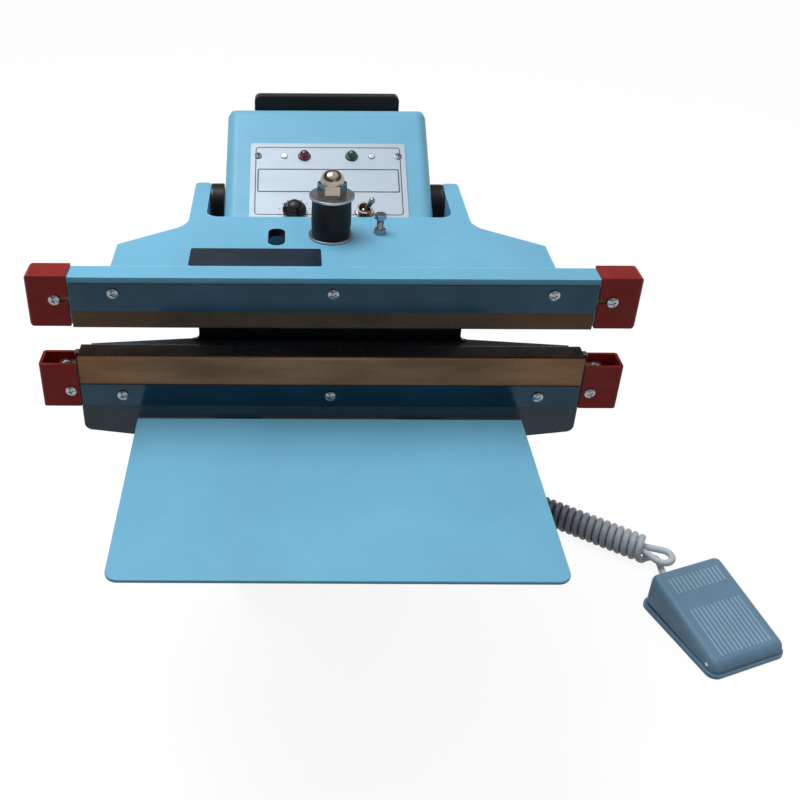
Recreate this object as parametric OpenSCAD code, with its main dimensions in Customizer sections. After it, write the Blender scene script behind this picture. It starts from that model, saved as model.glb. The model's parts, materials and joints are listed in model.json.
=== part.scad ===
// Bench impulse sealer with a foot switch.
// A fork-shaped upper arm turns on two rear pins. A solenoid in the cabinet pulls it down by a rod with a
// rubber buffer, and both jaws carry a heating ribbon under a PTFE sheet.
// Depths are measured back from the front face of the jaws (u), heights from the bench (z), widths from the
// middle (x). in_frame() then puts the origin on the bench under the middle of the four feet.

/* [Jaws] */
// Length of the two sealing bars
bar_l = 376; // [360:1:400]
// Depth of the sealing bars, front to back
bar_d = 18; // [17:0.5:20]
// Drop of the lower sealing face below the cabinet's top
seal_drop = 8.5; // [4:0.5:12]
// Opening between the jaws at rest
jaw_opening = 22.5; // [20:0.5:24]
// Gap that the closed jaws leave for the film
film_gap = 0.4; // [0.3:0.1:0.8]
// Thickness of the PTFE sheets over the jaws
cover_t = 0.5; // [0.3:0.1:0.8]
// Thickness of the clamp strips
strip_t = 1; // [0.8:0.1:1.5]
// Height of the lower front clamp strip
lower_strip_h = 18.5; // [16:0.5:20]
// Height of the upper front clamp strip
upper_strip_h = 21.7; // [18:0.1:22]
// Height of the two rear clamp strips
rear_strip_h = 14; // [12:0.5:15]
// Distance of the outer strip screws from the middle
strip_screw_x = 156; // [130:1:165]
// Diameter of the small pan-head screws
screw_d = 4; // [3:0.5:4.5]
// Width of the heating ribbons
ribbon_w = 5; // [3:0.5:8]
// Thickness of the heating ribbons
ribbon_t = 0.2; // [0.1:0.05:0.3]
// Height of the casting's front web at its ends, under the sealing bar
web_h = 41; // [36:1:46]
// Slope of the casting's lower edge, in degrees
web_slope = 7; // [4:0.5:9]

/* [End caps] */
// Length of the upper caps beyond the bar
upper_cap_l = 30; // [26:0.5:34]
// Length of the lower caps beyond the bar
lower_cap_l = 28.5; // [26:0.5:34]
// Depth of the caps, front to back
cap_d = 21; // [20:0.5:24]
// Height of the upper caps
upper_cap_h = 40.5; // [38:0.5:42]
// Height of the lower caps
lower_cap_h = 37; // [34:0.5:40]
// Wall of the caps
cap_wall = 2.5; // [2:0.25:3]

/* [Upper arm] */
// Height of the arm's top face above the hinge pins
arm_rise = 42; // [40:0.5:45]
// Thickness of the arm's plate
plate_t = 6; // [5:0.5:8]
// Width of the plate behind the upper jaw
plate_w = 319; // [300:1:340]
// Width across the two rear arms
fork_w = 220; // [216:1:228]
// Width of each rear arm
fork_arm_w = 13; // [12:0.5:15]
// Depth at which the shoulders start to taper
shoulder_u = 56; // [50:1:62]
// Depth at which the shoulders meet the rear arms
waist_u = 91; // [84:1:96]
// Depth of the front edge of the fork's cut-out
cutout_u = 107; // [102:0.5:108]
// Depth of the hinge pins
pivot_u = 165; // [160:1:170]
// Radius of the hinge lugs
lug_r = 12; // [11:0.5:13]
// Diameter of the hinge pins
pin_d = 10; // [8:0.5:11]
// Wall of the hinge bushes
bush_wall = 2; // [1.5:0.25:2.5]
// Radial clearance of the running fits
running_gap = 0.05; // [0.02:0.01:0.08]
// Width of the plate's slot
slot_w = 13; // [10:0.5:15]
// Length of the plate's slot
slot_l = 30; // [24:1:34]
// Distance of the slot to the left of the middle
slot_x = 41; // [36:1:48]

/* [Pull rod and buffer] */
// Depth of the pull rod
rod_u = 72; // [70:0.5:74]
// Diameter of the pull rod
rod_d = 12; // [10:0.5:12]
// Diameter of the rubber buffer
buffer_d = 30; // [27:0.5:33]
// Height of the rubber buffer
buffer_h = 29.5; // [24:0.5:34]
// Diameter of the buffer washers
washer_d = 34; // [31:0.5:37]
// Thickness of the buffer washers
washer_t = 2; // [1.5:0.25:3]
// Dome nut, across its flats
dome_af = 19; // [18:0.5:21]
// Height of the dome nut
dome_h = 19; // [18:0.5:22]
// Diameter of the clevis pin
clevis_d = 8; // [6:0.5:8]
// Distance of the limit screw to the right of the middle
limit_x = 37.5; // [32:0.5:42]
// Depth of the limit screw
limit_u = 77; // [74:0.5:80]
// Diameter of the limit screw
limit_d = 5; // [4:0.5:6]

/* [Cabinet] */
// Depth of the cabinet's front wall
cab_u = 40; // [39:0.5:42]
// Length of the cabinet, front to back
cab_l = 222; // [216:1:240]
// Height of the cabinet's top
cab_z = 296; // [280:1:330]
// Thickness of the cabinet's sheet
sheet_t = 2; // [1.5:0.25:2.5]
// Height at which the front starts to slope back to the toe
toe_z = 80; // [60:1:100]
// Depth of the toe recess
toe_d = 24; // [10:1:30]
// Height of the rubber feet
feet_h = 12; // [8:0.5:16]
// Diameter of the rubber feet
feet_d = 24; // [18:1:30]
// Thickness of the hinge brackets
bracket_t = 8; // [6:0.5:8]
// Gap between a hinge bracket and its arm
hinge_gap = 3; // [2:0.25:4]

/* [Console] */
// Set-back of the console from the cabinet's sides
console_in = 2; // [1:0.5:6]
// Depth of the console's front wall
console_u = 111; // [110:0.5:114]
// Depth of the console's rear wall
console_rear_u = 223; // [214:1:228]
// Height of the console's front edge above the cabinet
console_h = 52.5; // [48:0.5:56]
// Slope of the console's face, in degrees
slope_a = 28.2; // [26:0.2:31]
// Wall of the console
console_wall = 3; // [2:0.25:4]
// Width of the control panel
panel_w = 127; // [122:1:140]
// Length of the control panel up the slope
panel_l = 78; // [76:1:86]
// Thickness of the control panel
panel_t = 1.2; // [1:0.1:2]
// Distance of the lamps from the middle
lamp_x = 19.4; // [16:0.2:26]
// Diameter of the lamps
lamp_d = 9; // [7:0.5:12]
// Diameter of the timer knob
knob_d = 19; // [16:0.5:22]
// Distance of the knob to the left of the middle
knob_x = 27.5; // [24:0.5:34]
// Distance of the toggle switch to the right of the middle
toggle_x = 28; // [24:0.5:34]
// Swing of the toggle lever to either side, in degrees
toggle_a = 21; // [12:1:24]
// Width of the rear cover
hood_w = 123; // [110:1:140]
// Height of the rear cover above the cabinet
hood_h = 115; // [108:1:126]

/* [Tray] */
// Width of the tray
tray_w = 293; // [270:1:310]
// Length of the tray, front to back
tray_l = 176; // [160:1:190]
// Thickness of the tray
tray_t = 3; // [2:0.25:4]
// Drop of the tray's top below the lower sealing face
tray_drop = 53.5; // [50:0.5:57]
// Radius of the tray's front corners
tray_r = 9; // [6:0.5:20]

/* [Foot switch] */
// Width of the foot switch's base
pedal_w = 80; // [74:1:88]
// Length of the foot switch's base
pedal_l = 100; // [94:1:108]
// Height of the tread at its rear
tread_rear_h = 36; // [31:0.5:40]
// Height of the tread at its front
tread_front_h = 16; // [15:0.5:18]
// Wall of the tread
tread_wall = 2.5; // [2:0.25:3]
// Travel of the tread, in degrees
tread_a = 2; // [1:0.25:2.25]
// Turn of the foot switch, in degrees
pedal_yaw = 21; // [0:1:40]
// Distance of the foot switch to the right of the middle
pedal_x = 348; // [330:1:380]
// Depth of the foot switch's middle
pedal_u = 8; // [-20:1:30]

/* [Cord] */
// Diameter of the foot switch's cord
cord_d = 6.5; // [5.5:0.25:7]
// Gap between two turns of the cord
cord_gap = 0.5; // [0.5:0.05:0.8]
// Turns that wrap the hank
hank_turns = 17; // [12:1:18]

/* [Hidden] */
$fn = 48;

// Length by which a cut runs past the face it opens
eps = 1;
// Overlap that joins two bodies of one solid
seam = 0.1;
// Clearance of a part that is fitted by hand, on the radius
fit_gap = 0.1;
// Clearance of a pressed or screwed part, on the radius
tight_gap = 0.025;
// Distance kept between faces that move past each other
clear_gap = 0.3;

// Widths that follow the fork: the brackets stand inside its arms, and the cabinet between the brackets
lug_x = fork_w / 2 - fork_arm_w;
bracket_x = lug_x - hinge_gap - bracket_t;
cab_w = 2 * bracket_x;
console_w = cab_w - 2 * console_in;

// Jaws
bar_front = strip_t + cover_t;
bar_rear = bar_front + bar_d;
jaw_mid = bar_front + bar_d / 2;
end_inset = 1;
cover_l = bar_l - 2 * end_inset;
seal_z = cab_z - seal_drop;
pivot_z = seal_z + jaw_opening;
close_a = asin((jaw_opening - film_gap) / (pivot_u - jaw_mid));
sheet_play = 0.1;
insulator_t = 1.6;
insulator_inset = 2;
insulator_w = bar_d - 2 * insulator_inset;
bar_top = seal_z - cover_t - 2 * sheet_play - ribbon_t - insulator_t;
bar_h = 23;
shelf_t = 8;
shelf_top = bar_top - bar_h;
shelf_over = 14;
shelf_x = cab_w / 2 + shelf_over;
shelf_end_u = 31;
deck_gap = 6;
deck_u = bar_rear + deck_gap;
deck_drop = 6.5;
deck_z = seal_z - deck_drop;
deck_in = 6;
deck_x = bar_l / 2 - deck_in;
deck_hole_d = 9;
web_t = 6;
web_end_z = shelf_top - web_h;
web_flat_in = 10;
web_flat_x = cab_w / 2 - web_flat_in;
web_low_z = web_end_z - (bar_l / 2 - web_flat_x) * tan(web_slope);
web_r = 6;
pad_over = 6;
pad_x = cab_w / 2 + pad_over;
pad_t = 6;
pad_rise = 4;
pad_low_z = web_low_z + pad_rise;
pad_bolt_in = [16, 12];
pad_bolt_x = cab_w / 2 - pad_bolt_in[0];
pad_bolt_z = [pad_low_z + pad_bolt_in[1], shelf_top - shelf_t - pad_bolt_in[1]];
rib_in = 34;
rib_out = 2;
rib_x = [cab_w / 2 - rib_in, cab_w / 2 + rib_out];
rib_rise = 4;
gusset_in = 48;
gusset_over = 4;
strip_drop = 24;
lower_strip_z = seal_z - strip_drop - lower_strip_h;
rear_strip_rise = 2;
lower_rear_strip_z = shelf_top + rear_strip_rise;
strip_screws = [-strip_screw_x, 0, strip_screw_x];
strip_overlap = 2;
upper_screw_rise = 3.5;
screw_l = 7;
short_screw_l = 6;
// Head height and crown radius of a pan head, for a shank of 1
pan_head_h = 0.65;
pan_crown = 1.5;

// Upper jaw: its sealing face leans back by the closing angle, so that it lies flat on the lower one
beam_wall = 2.5;
pad_h = 6;
beam_z = pivot_z + pad_h;
strip_margin = 4.3;
arm_z = pivot_z + arm_rise;
upper_strip_z = arm_z - strip_margin - upper_strip_h;
upper_rear_strip_z = beam_z + rear_strip_rise;
sheet_rise = cover_t / cos(close_a);
stack_rise = (cover_t + 2 * sheet_play + ribbon_t) / cos(close_a);
function face_z(u) = pivot_z - (u - jaw_mid) * tan(close_a);
function turned(u, z) = [pivot_u + (u - pivot_u) * cos(close_a) - (z - pivot_z) * sin(close_a),
    pivot_z + (u - pivot_u) * sin(close_a) + (z - pivot_z) * cos(close_a)];

// End caps and terminals
cap_u = jaw_mid - cap_d / 2;
cap_over = 1.8;
cap_under = 6.5;
upper_cap_z = arm_z + cap_over - upper_cap_h;
lower_cap_z = seal_z - cap_under - lower_cap_h;
cap_front_in = cap_u + cap_wall;
cap_screw_in = 10;
cap_screw_x = bar_l / 2 + cap_screw_in;
cap_slot_w = 3.5;
lower_cap_screw_in = 6.5;
lower_cap_screw_rise = 4;
block_l = 17;
block_d = cap_d - 2 * cap_wall;
block_h = 18;
terminal_h = 4;
terminal_l = 12;
terminal_d = 10;
terminal_gap = 3;
terminal_x = bar_l / 2 + terminal_gap;
terminal_screw_x = terminal_x + 7;
terminal_drop = 5;
terminal_rise = 8.7;
lower_terminal_z = lower_cap_z + lower_cap_h - terminal_drop;
lower_block_z = lower_terminal_z - terminal_h - block_h;
upper_terminal_z = upper_cap_z + terminal_rise;
upper_block_z = upper_terminal_z + terminal_h;
leg_gap = 2;
leg_x = bar_l / 2 + leg_gap;
ribbon_foot_l = 10;

// Upper arm and hinge
plate_z = arm_z - plate_t;
arm_r = 4;
rib_h = 11;
lug_taper_l = 25;
lug_front_u = pivot_u - lug_r - lug_taper_l;
cutout_r = 10;
slot_set = 2;
bush_r = pin_d / 2 + bush_wall;
bush_flange_w = 2;
pin_head_t = 2.5;
pin_head_w = 3;
bracket_w = 30;
bracket_drop = 56;
bracket_rise = 45;
bracket_low_z = cab_z - bracket_drop;
bracket_round_z = pivot_z + bracket_rise - bracket_w / 2;
bracket_bolt_drops = [44, 16];
bolt_d = 6;
bolt_af = 10;
bolt_head_h = 4;
bolt_end = 4;

// Pull rod, buffer and limit screw
washer_z = arm_z + washer_t;
top_washer_z = washer_z + buffer_h;
nut_z = top_washer_z + washer_t;
rod_top_z = nut_z + dome_h - 8;
dome_step = 0.5;
dome_chamfer = 0.6;
dome_r = dome_af / 2 - dome_step;
eye_r = 9;
eye_w = 10;
eye_swing = (pivot_u - rod_u) * (1 - cos(close_a));
eye_bore_r = clevis_d / 2 + eye_swing + clear_gap;
limit_up = 16;
limit_down = 32;
limit_tip_z = arm_z - limit_down;
limit_closed = turned(limit_u, limit_tip_z);
limit_button_z = limit_closed[1] - limit_d / 2 * sin(close_a) - clear_gap;
limit_af = 8;
limit_nut_h = 4;
button_size = [3, 5];
button_show = 3.5;
button_in = 1.2;
button_well = 3;
switch_size = [10, 20];
limit_body_z = limit_button_z - button_show;

// Solenoid, between the cabinet's front wall and the clevis
ear_w = 4.5;
ear_gap = 0.5;
ear_x = eye_w / 2 + ear_gap;
ear_r = 8;
clevis_end = 2;
collar_gap = 0.5;
collar_z = cab_z - sheet_t - collar_gap;
collar_t = 3.5;
collar_r = 16.5;
plunger_r = 12;
plunger_stop = 40;
solenoid_front = cab_u + sheet_t;
solenoid_l = 2 * (rod_u - solenoid_front);
solenoid_w = 68;
solenoid_t = 5;
solenoid_h = 87;
solenoid_drop = 44;
solenoid_top = cab_z - solenoid_drop;
solenoid_z = solenoid_top - solenoid_h;
coil_low_z = solenoid_z + solenoid_t;
coil_high_z = solenoid_top - solenoid_t;
coil_gap = 1;
coil_r = solenoid_l / 2 - solenoid_t - coil_gap;
coil_step = 2;
coil_flange_t = 3;
plunger_low_z = solenoid_z + plunger_stop;
spring_wire = 2.5;
spring_r = 14.6;
spring_turns = 6;

// Transformer and timer board
core_in = 72;
core_d = 52;
limb_w = 26;
yoke_h = 14;
window_w = 16;
window_h = 42;
core_w = 2 * (limb_w + window_w);
core_h = window_h + 2 * yoke_h;
winding_t = 15;
winding_gap = 0.2;
winding_end_gap = 1;
board_u = 110;
board_z = 120;
board_size = [1.6, 90, 100];
standoff_r = 3;
standoff_l = 6;
standoff_in = 6;
board_face = standoff_l + board_size[0];
relay_at = [10, 60];
relay_size = [16, 30, 20];
capacitor_at = [[58, 30], [74, 30]];
capacitor_r = 6;
capacitor_l = 20;

// Cabinet
cab_rear_u = cab_u + cab_l;
cab_toe_u = cab_u + toe_d;
cab_low_z = feet_h + sheet_t;
toe_wall = sheet_t / cos(atan(toe_d / (toe_z - cab_low_z)));
feet_inset = 15;
feet_taper = 2;
feet_bore_r = 3;
feet_bore_h = 4;
origin_u = (cab_toe_u + cab_rear_u) / 2;
well_gap = 3;
well_x = ear_x + ear_w + well_gap;
well_l = 2 * ear_r + 10;
wire_hole = [110, 60];
gland_in = 57;
gland_u = cab_rear_u - gland_in;
gland_z = 40;
gland_r = 8;
gland_l = 22;
gland_hex_h = 6;
gland_neck_r = gland_r - 2;
gland_neck_l = 3;
gland_cap_h = 4;
gland_wall = 1;
mains_gland_x = -50;
louvre_l = 44;
louvre_h = 4;
louvre_step = 12;
louvre_n = 5;
louvre_in = 80;
louvre_rise = 70;

// Console
lip_r = 5;
brow_r = 10;
lip_set = 4;
slope_u = console_u + lip_set;
slope_z = cab_z + console_h;
edge_r = 10;
panel_low = -3;
panel_r = 2;
hole_depth = console_wall + 8;
knob_t = 4;
toggle_t = 4;
lamp_in = 13.5;
lamp_t = panel_low + panel_l - lamp_in;
lamp_l = 14;
lamp_stem_r = lamp_d / 2 - 1;
bezel_w = 1;
bezel_h = 1.8;
lens_r = lamp_d / 2 - 0.6;
panel_screw_in = 6;
panel_screw_x = panel_w / 2 - panel_screw_in;
panel_screw_d = 3;
pot_r = 6;
pot_h = 14;
pot_bush_r = 4.5;
pot_nut_af = 11;
pot_nut_h = 2.4;
pot_bore_h = 11;
knob_gap = 1.2;
knob_z = panel_t + pot_nut_h + knob_gap;
knob_skirt_h = 3;
knob_skirt_w = 3.2;
knob_cap_d = knob_d - 2 * knob_skirt_w;
knob_h = 7.5;
knob_crown = 8;
nose_w = 4;
nose_out = 2;
nose_z = 5.5;
pointer_w = 1;
pointer_d = 0.8;
shaft_r = 3;
shaft_l = 12;
toggle_body = [15, 10, 18];
toggle_bush_r = 6;
toggle_bush_h = 7;
toggle_nut_af = 14;
toggle_nut_h = 2;
toggle_pivot = 2;
toggle_ball_r = 3.4;
toggle_mouth = 0.9;
toggle_mouth_h = 3;
toggle_l = 17;
lever_r = 1.5;
lever_tip_r = 2.4;
hood_wall = 2;
hood_r = 5;
hood_set = 1;
hood_top_l = 9;
hood_rear_drop = 34;
hood_louvre_in = 16;
hood_louvre_rise = 24;
function arc(c, r, from, to) = [for (i = [0 : 8]) c + r * [cos(from + (to - from) * i / 8),
    sin(from + (to - from) * i / 8)]];
function under_slope(u, r) = slope_z - r * cos(slope_a) + (u - slope_u - r * sin(slope_a)) * tan(slope_a);

// Tray
tray_gap = 1;
tray_bracket_w = 36;
tray_bracket_x = 70;
tray_bracket_t = 3;
tray_arm_l = 127;
tray_rib_t = 4;
tray_rib_end = 8;
tray_leg_h = 22;
tray_bolt_dx = 10;
tray_bolt_drop = 12;
tray_z = seal_z - tray_drop;
tray_low_z = tray_z - tray_t;
tray_leg_z = tray_low_z - tray_leg_h;
tray_bolt_z = tray_low_z - tray_bolt_drop;

// Foot switch
cord_r = cord_d / 2;
lip_h = 4;
lip_in = 2;
skirt_gap = 0.6;
tread_w = pedal_w - 2 * lip_in;
tread_l = pedal_l - 2 * lip_in;
tread_r = 7;
tread_tilt = atan((tread_rear_h - tread_front_h) / (tread_l - 2 * tread_r));
tread_mid_z = (tread_rear_h + tread_front_h) / 2 - tread_r;
pedal_pin_r = 2;
pedal_pin_in = 10;
pedal_pin_y = -tread_l / 2 + pedal_pin_in;
pedal_pin_z = 8.5;
pedal_pin_end = 0.5;
tread_drop = (tread_l / 2 - pedal_pin_y) * sin(tread_a);
skirt_front_z = lip_h + skirt_gap;
skirt_rear_z = lip_h + tread_drop + skirt_gap;
rim_gap = 1;
rim_t = 2;
rim_h = 4;
rim_w = tread_w - 2 * (tread_wall + rim_gap);
rim_l = tread_l - 2 * (tread_wall + rim_gap);
rim_r = tread_r - tread_wall + rim_gap;
post_w = 6;
post_r = 3;
post_gap = 2.5;
post_x = tread_w / 2 - tread_wall - post_gap - post_w / 2;
spring_y = 26;
pedal_spring_r = 5;
pedal_spring_wire = 1.2;
pedal_spring_turns = 5;
micro_low = [-10, -8];
micro_high = [10, 4];
micro_h = 12;
micro_button_w = 3;
micro_button_y = -4;
relief_l = 10;
relief_z = 6.2;
relief_r = cord_r + 2;
relief_tip_r = cord_r + 0.8;
relief_in = lip_in + tread_wall + 3;
relief_play = 1.5;
tread_rib_w = 1.2;
tread_rib_h = 0.7;
tread_rib_step = 4.3;
rear_ribs = 13;
rear_rib_in = 8;
rear_rib_l = 16;
front_ribs = 13;
front_rib_in = 8;
front_rib_l = 47;
function tread_under(y) = tread_mid_z + y * tan(tread_tilt) + (tread_r - tread_wall) / cos(tread_tilt);

// Cord: the lead comes out of the cabinet, the hank is wrapped round its own two strands
cord_step = cord_d + cord_gap;
cord_play = 0.1;
wrap_r = 1.5 * cord_step;
hank_z = wrap_r + cord_r + cord_play;
hank_l = hank_turns * cord_step;
hank_end = [315, 95];
hank_dir = [0.826, -0.5637];
hank_side = [0.5637, 0.826];
hank_run = 30;
hank_loop = 9;
hank_loop_out = 13;
function hank_point(s, n, h) = [hank_end[0] + hank_dir[0] * (s - hank_l) + hank_side[0] * n,
    hank_end[1] + hank_dir[1] * (s - hank_l) + hank_side[1] * n, hank_z + h];
function wrap_point(s, r, a) = hank_point(s, r * cos(a), r * sin(a));
function pedal_point(x, y, z) = [pedal_x + x * cos(pedal_yaw) - y * sin(pedal_yaw),
    pedal_u + x * sin(pedal_yaw) + y * cos(pedal_yaw), z];

// Points along the lead, chosen by hand between its two ends
lead_start = [cab_w / 2 + gland_l, gland_u, gland_z];
lead_end = hank_point(-hank_run, cord_step / 2, 0);
lead_route = concat([lead_start, lead_start + [10, 0, 0]], [[130, 204.5, 36], [140, 203, 27],
    [148, 201, 17], [156, 199, 10], [166, 196, 7]], [hank_point(-hank_run - 14, cord_step / 2, -3),
    hank_point(-hank_run - 4, cord_step / 2, 0), lead_end]);

// The hank: out along one strand, round the loop, back along the other, then the wraps and the tail
out_strand = [for (s = [-hank_run : 20 : hank_l]) hank_point(s, cord_step / 2, 0)];
loop_turn = [for (a = [-60 : 20 : 240]) hank_point(hank_l + hank_loop_out + hank_loop * sin(a),
    hank_loop * cos(a), 0)];
back_strand = [for (s = [hank_l - 4 : -20 : 6]) hank_point(s, -cord_step / 2, 0)];
wrap_start = [wrap_point(-3, 0.5 * cord_step, 180), wrap_point(-8, 0.72 * cord_step, 184),
    wrap_point(-10, 1.1 * cord_step, 205), wrap_point(-8.6, 1.4 * cord_step, 232)];
wraps = [for (i = [0 : 24 * hank_turns]) wrap_point(i * cord_step / 24 - 6, wrap_r, 255 + 15 * i)];
relief_end = pedal_point(0, pedal_l / 2 + relief_l, relief_z);
tail_in = pedal_point(0, pedal_l / 2 + relief_l + cord_d, relief_z);
tail_turn = [for (p = [[1, 4.5], [6, 8], [12, 8], [17, 4.5], [20, -1], [21.5, -8]])
    hank_point(hank_l + p[0], p[1], -wrap_r)];
tail = concat(tail_turn, [tail_in, relief_end]);

// Points about a step apart along a path, and the least gap between those that lie far apart along it
function spaced(p, step) = [for (i = [0 : len(p) - 2]) let (n = ceil(norm(p[i + 1] - p[i]) / step))
    for (k = [0 : n - 1]) p[i] + (p[i + 1] - p[i]) * k / n];
function least_gap(p, apart) = min([for (i = [0 : len(p) - apart - 1]) min([for (j = [i + apart : len(p) - 1])
    norm(p[i] - p[j])])]) - cord_d;

module in_frame() {
    translate([0, -origin_u, 0]) children();
}

// Both sides of the middle plane
module both_sides() {
    children();
    mirror([1, 0, 0]) children();
}

// A profile drawn in depth and height, drawn out along the width
module along_x(l) {
    rotate([90, 0, 90]) linear_extrude(height = l, center = true) children();
}

// A profile drawn in width and height, drawn out from one depth to another
module along_u(u0, u1) {
    translate([0, u1, 0]) rotate([90, 0, 0]) linear_extrude(height = u1 - u0) children();
}

// A block between two corners
module block(low, high) {
    translate(low) cube(high - low);
}

module round_rect(w, l, r) {
    square([w - 2 * r, l], center = true);
    square([w, l - 2 * r], center = true);
    for (x = [-1, 1], y = [-1, 1]) translate([x * (w / 2 - r), y * (l / 2 - r)]) circle(r);
}

module obround(w, l) {
    square([w, l - w], center = true);
    for (y = [-1, 1]) translate([0, y * (l - w) / 2]) circle(d = w);
}

module rod_x(x0, x1, r) {
    translate([x0, 0, 0]) rotate([0, 90, 0]) cylinder(h = x1 - x0, r = r);
}

module hexagon(af, h) {
    cylinder(h = h, d = af / cos(30), $fn = 6);
}

// A pan-head screw that points down, with the head's seat at the origin
module pan_screw(d, l) {
    head_h = pan_head_h * d;
    crown_r = pan_crown * d;
    translate([0, 0, -l]) cylinder(h = l + seam, d = d);
    rotate_extrude() intersection() {
        translate([0, head_h - crown_r]) circle(r = crown_r);
        square([d, head_h]);
    }
}

// A hexagon-head bolt that points down, with the head's seat at the origin
module hex_bolt(l) {
    translate([0, 0, -l]) cylinder(h = l + seam, d = bolt_d);
    hexagon(bolt_af, bolt_head_h);
}

// Unit vectors across a path, carried along it without twist
function unit(v) = v / norm(v);
function tangent(p, i) = unit(p[min(i + 1, len(p) - 1)] - p[max(i - 1, 0)]);
function carry(n, t) = unit(n - (n * t) * t);
function normals(p, i = 0, n = [0.11, 0.17, 1], out = []) = i == len(p) ? out :
    let (m = carry(n, tangent(p, i))) normals(p, i + 1, m, concat(out, [m]));

// One closed tube along a path
module tube(path, r, sides) {
    n = len(path);
    side = normals(path);
    rings = [for (i = [0 : n - 1]) let (b = cross(tangent(path, i), side[i])) for (k = [0 : sides - 1])
        path[i] + r * (cos(360 * k / sides) * side[i] + sin(360 * k / sides) * b)];
    walls = [for (i = [0 : n - 2], k = [0 : sides - 1]) let (a = i * sides + k,
        b = i * sides + (k + 1) % sides) each [[a, a + sides, b], [b, a + sides, b + sides]]];
    ends = [for (k = [1 : sides - 2]) each [[0, k, k + 1],
        [(n - 1) * sides, (n - 1) * sides + k + 1, (n - 1) * sides + k]]];
    polyhedron(points = rings, faces = concat(walls, ends));
}

// A coil spring that stands on the origin, with eight rings a turn
module coil_spring(r, wire, h, turns) {
    steps = turns * 8;
    path = [for (i = [0 : steps]) [r * cos(i * 45), r * sin(i * 45), wire / 2 + (h - wire) * i / steps]];
    tube(path, wire / 2, 6);
}

module in_pedal() {
    in_frame() translate([pedal_x, pedal_u, 0]) rotate([0, 0, pedal_yaw]) children();
}

// The console's sloped face: width, distance up the slope, height off it
module on_slope() {
    in_frame() translate([0, slope_u, slope_z]) rotate([slope_a, 0, 0]) children();
}

// Places of the screws and bolts, each with its head's seat at the origin and pointing inwards
module strip_screw_places(front_z, rear_z) {
    for (x = strip_screws) {
        translate([x, 0, front_z]) rotate([90, 0, 0]) children();
        translate([x, bar_rear + bar_front, rear_z + rear_strip_h / 2]) rotate([-90, 0, 0]) children();
    }
}

module lower_screw_places() {
    strip_screw_places(lower_strip_z + lower_strip_h / 2, lower_rear_strip_z) children();
}

module upper_screw_places() {
    strip_screw_places(upper_strip_z + upper_strip_h / 2 + upper_screw_rise, upper_rear_strip_z) children();
}

module cap_screw_place(x, z) {
    both_sides() translate([x, cap_u, z]) rotate([90, 0, 0]) children();
}

module lower_cap_screw_places() {
    cap_screw_place(bar_l / 2 + lower_cap_screw_in, lower_block_z + lower_cap_screw_rise) children();
}

module upper_cap_screw_places() {
    cap_screw_place(cap_screw_x, upper_block_z + block_h / 2) children();
}

module lower_terminal_places() {
    both_sides() translate([terminal_screw_x, jaw_mid, lower_terminal_z + ribbon_t]) children();
}

module upper_terminal_places() {
    both_sides() translate([terminal_screw_x, jaw_mid, upper_terminal_z - ribbon_t]) rotate([180, 0, 0])
        children();
}

module screw_hole() {
    translate([0, 0, -screw_l - eps]) cylinder(h = screw_l + 2 * eps, d = screw_d + 2 * fit_gap);
}

module bracket_bolt_places() {
    both_sides() for (drop = bracket_bolt_drops)
        translate([bracket_x + bracket_t, pivot_u, cab_z - drop]) rotate([0, 90, 0]) children();
}

module pad_bolt_places() {
    for (x = [-pad_bolt_x, pad_bolt_x], z = pad_bolt_z)
        translate([x, cab_u + sheet_t, z]) rotate([-90, 0, 0]) children();
}

module tray_bolt_places() {
    for (x = [-tray_bracket_x, tray_bracket_x], dx = [-tray_bolt_dx, tray_bolt_dx])
        translate([x + dx, bar_front - tray_bracket_t, tray_bolt_z]) rotate([90, 0, 0]) children();
}

module bolt_hole(l) {
    translate([0, 0, -l]) cylinder(h = l + eps, d = bolt_d + 2 * fit_gap);
}

// Cabinet

module cabinet_profile(wall, toe) {
    polygon([[cab_toe_u + toe, cab_low_z], [cab_u + wall, toe_z], [cab_u + wall, cab_z - wall],
        [cab_rear_u - wall, cab_z - wall], [cab_rear_u - wall, cab_low_z]]);
}

module base_cabinet() color([0.48, 0.71, 0.84]) in_frame() difference() {
    along_x(cab_w) cabinet_profile(0, 0);
    along_x(cab_w - 2 * sheet_t) cabinet_profile(sheet_t, toe_wall);
    block([-cab_w / 2 + sheet_t, cab_toe_u + toe_wall, cab_low_z - eps],
        [cab_w / 2 - sheet_t, cab_rear_u - sheet_t, cab_low_z + eps]);
    translate([0, rod_u, cab_z - sheet_t - eps]) linear_extrude(sheet_t + 2 * eps)
        square([2 * well_x, well_l], center = true);
    translate([0, (console_u + console_rear_u) / 2, cab_z - sheet_t - eps]) linear_extrude(sheet_t + 2 * eps)
        square(wire_hole, center = true);
    bracket_bolt_places() bolt_hole(bracket_t + sheet_t + eps);
    pad_bolt_places() bolt_hole(sheet_t + eps);
    translate([cab_w / 2 - sheet_t - eps, gland_u, gland_z]) rotate([0, 90, 0])
        cylinder(h = sheet_t + 2 * eps, r = gland_neck_r);
    translate([mains_gland_x, cab_rear_u - sheet_t - eps, gland_z]) rotate([-90, 0, 0])
        cylinder(h = sheet_t + 2 * eps, r = gland_neck_r);
    for (i = [0 : louvre_n - 1])
        translate([0, cab_rear_u - louvre_in, cab_low_z + louvre_rise + i * louvre_step])
            block([-cab_w, -louvre_l / 2, 0], [cab_w, louvre_l / 2, louvre_h]);
}

module base_plate() color([0.3, 0.32, 0.34]) in_frame()
    block([-cab_w / 2, cab_toe_u, feet_h], [cab_w / 2, cab_rear_u, cab_low_z]);

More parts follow.
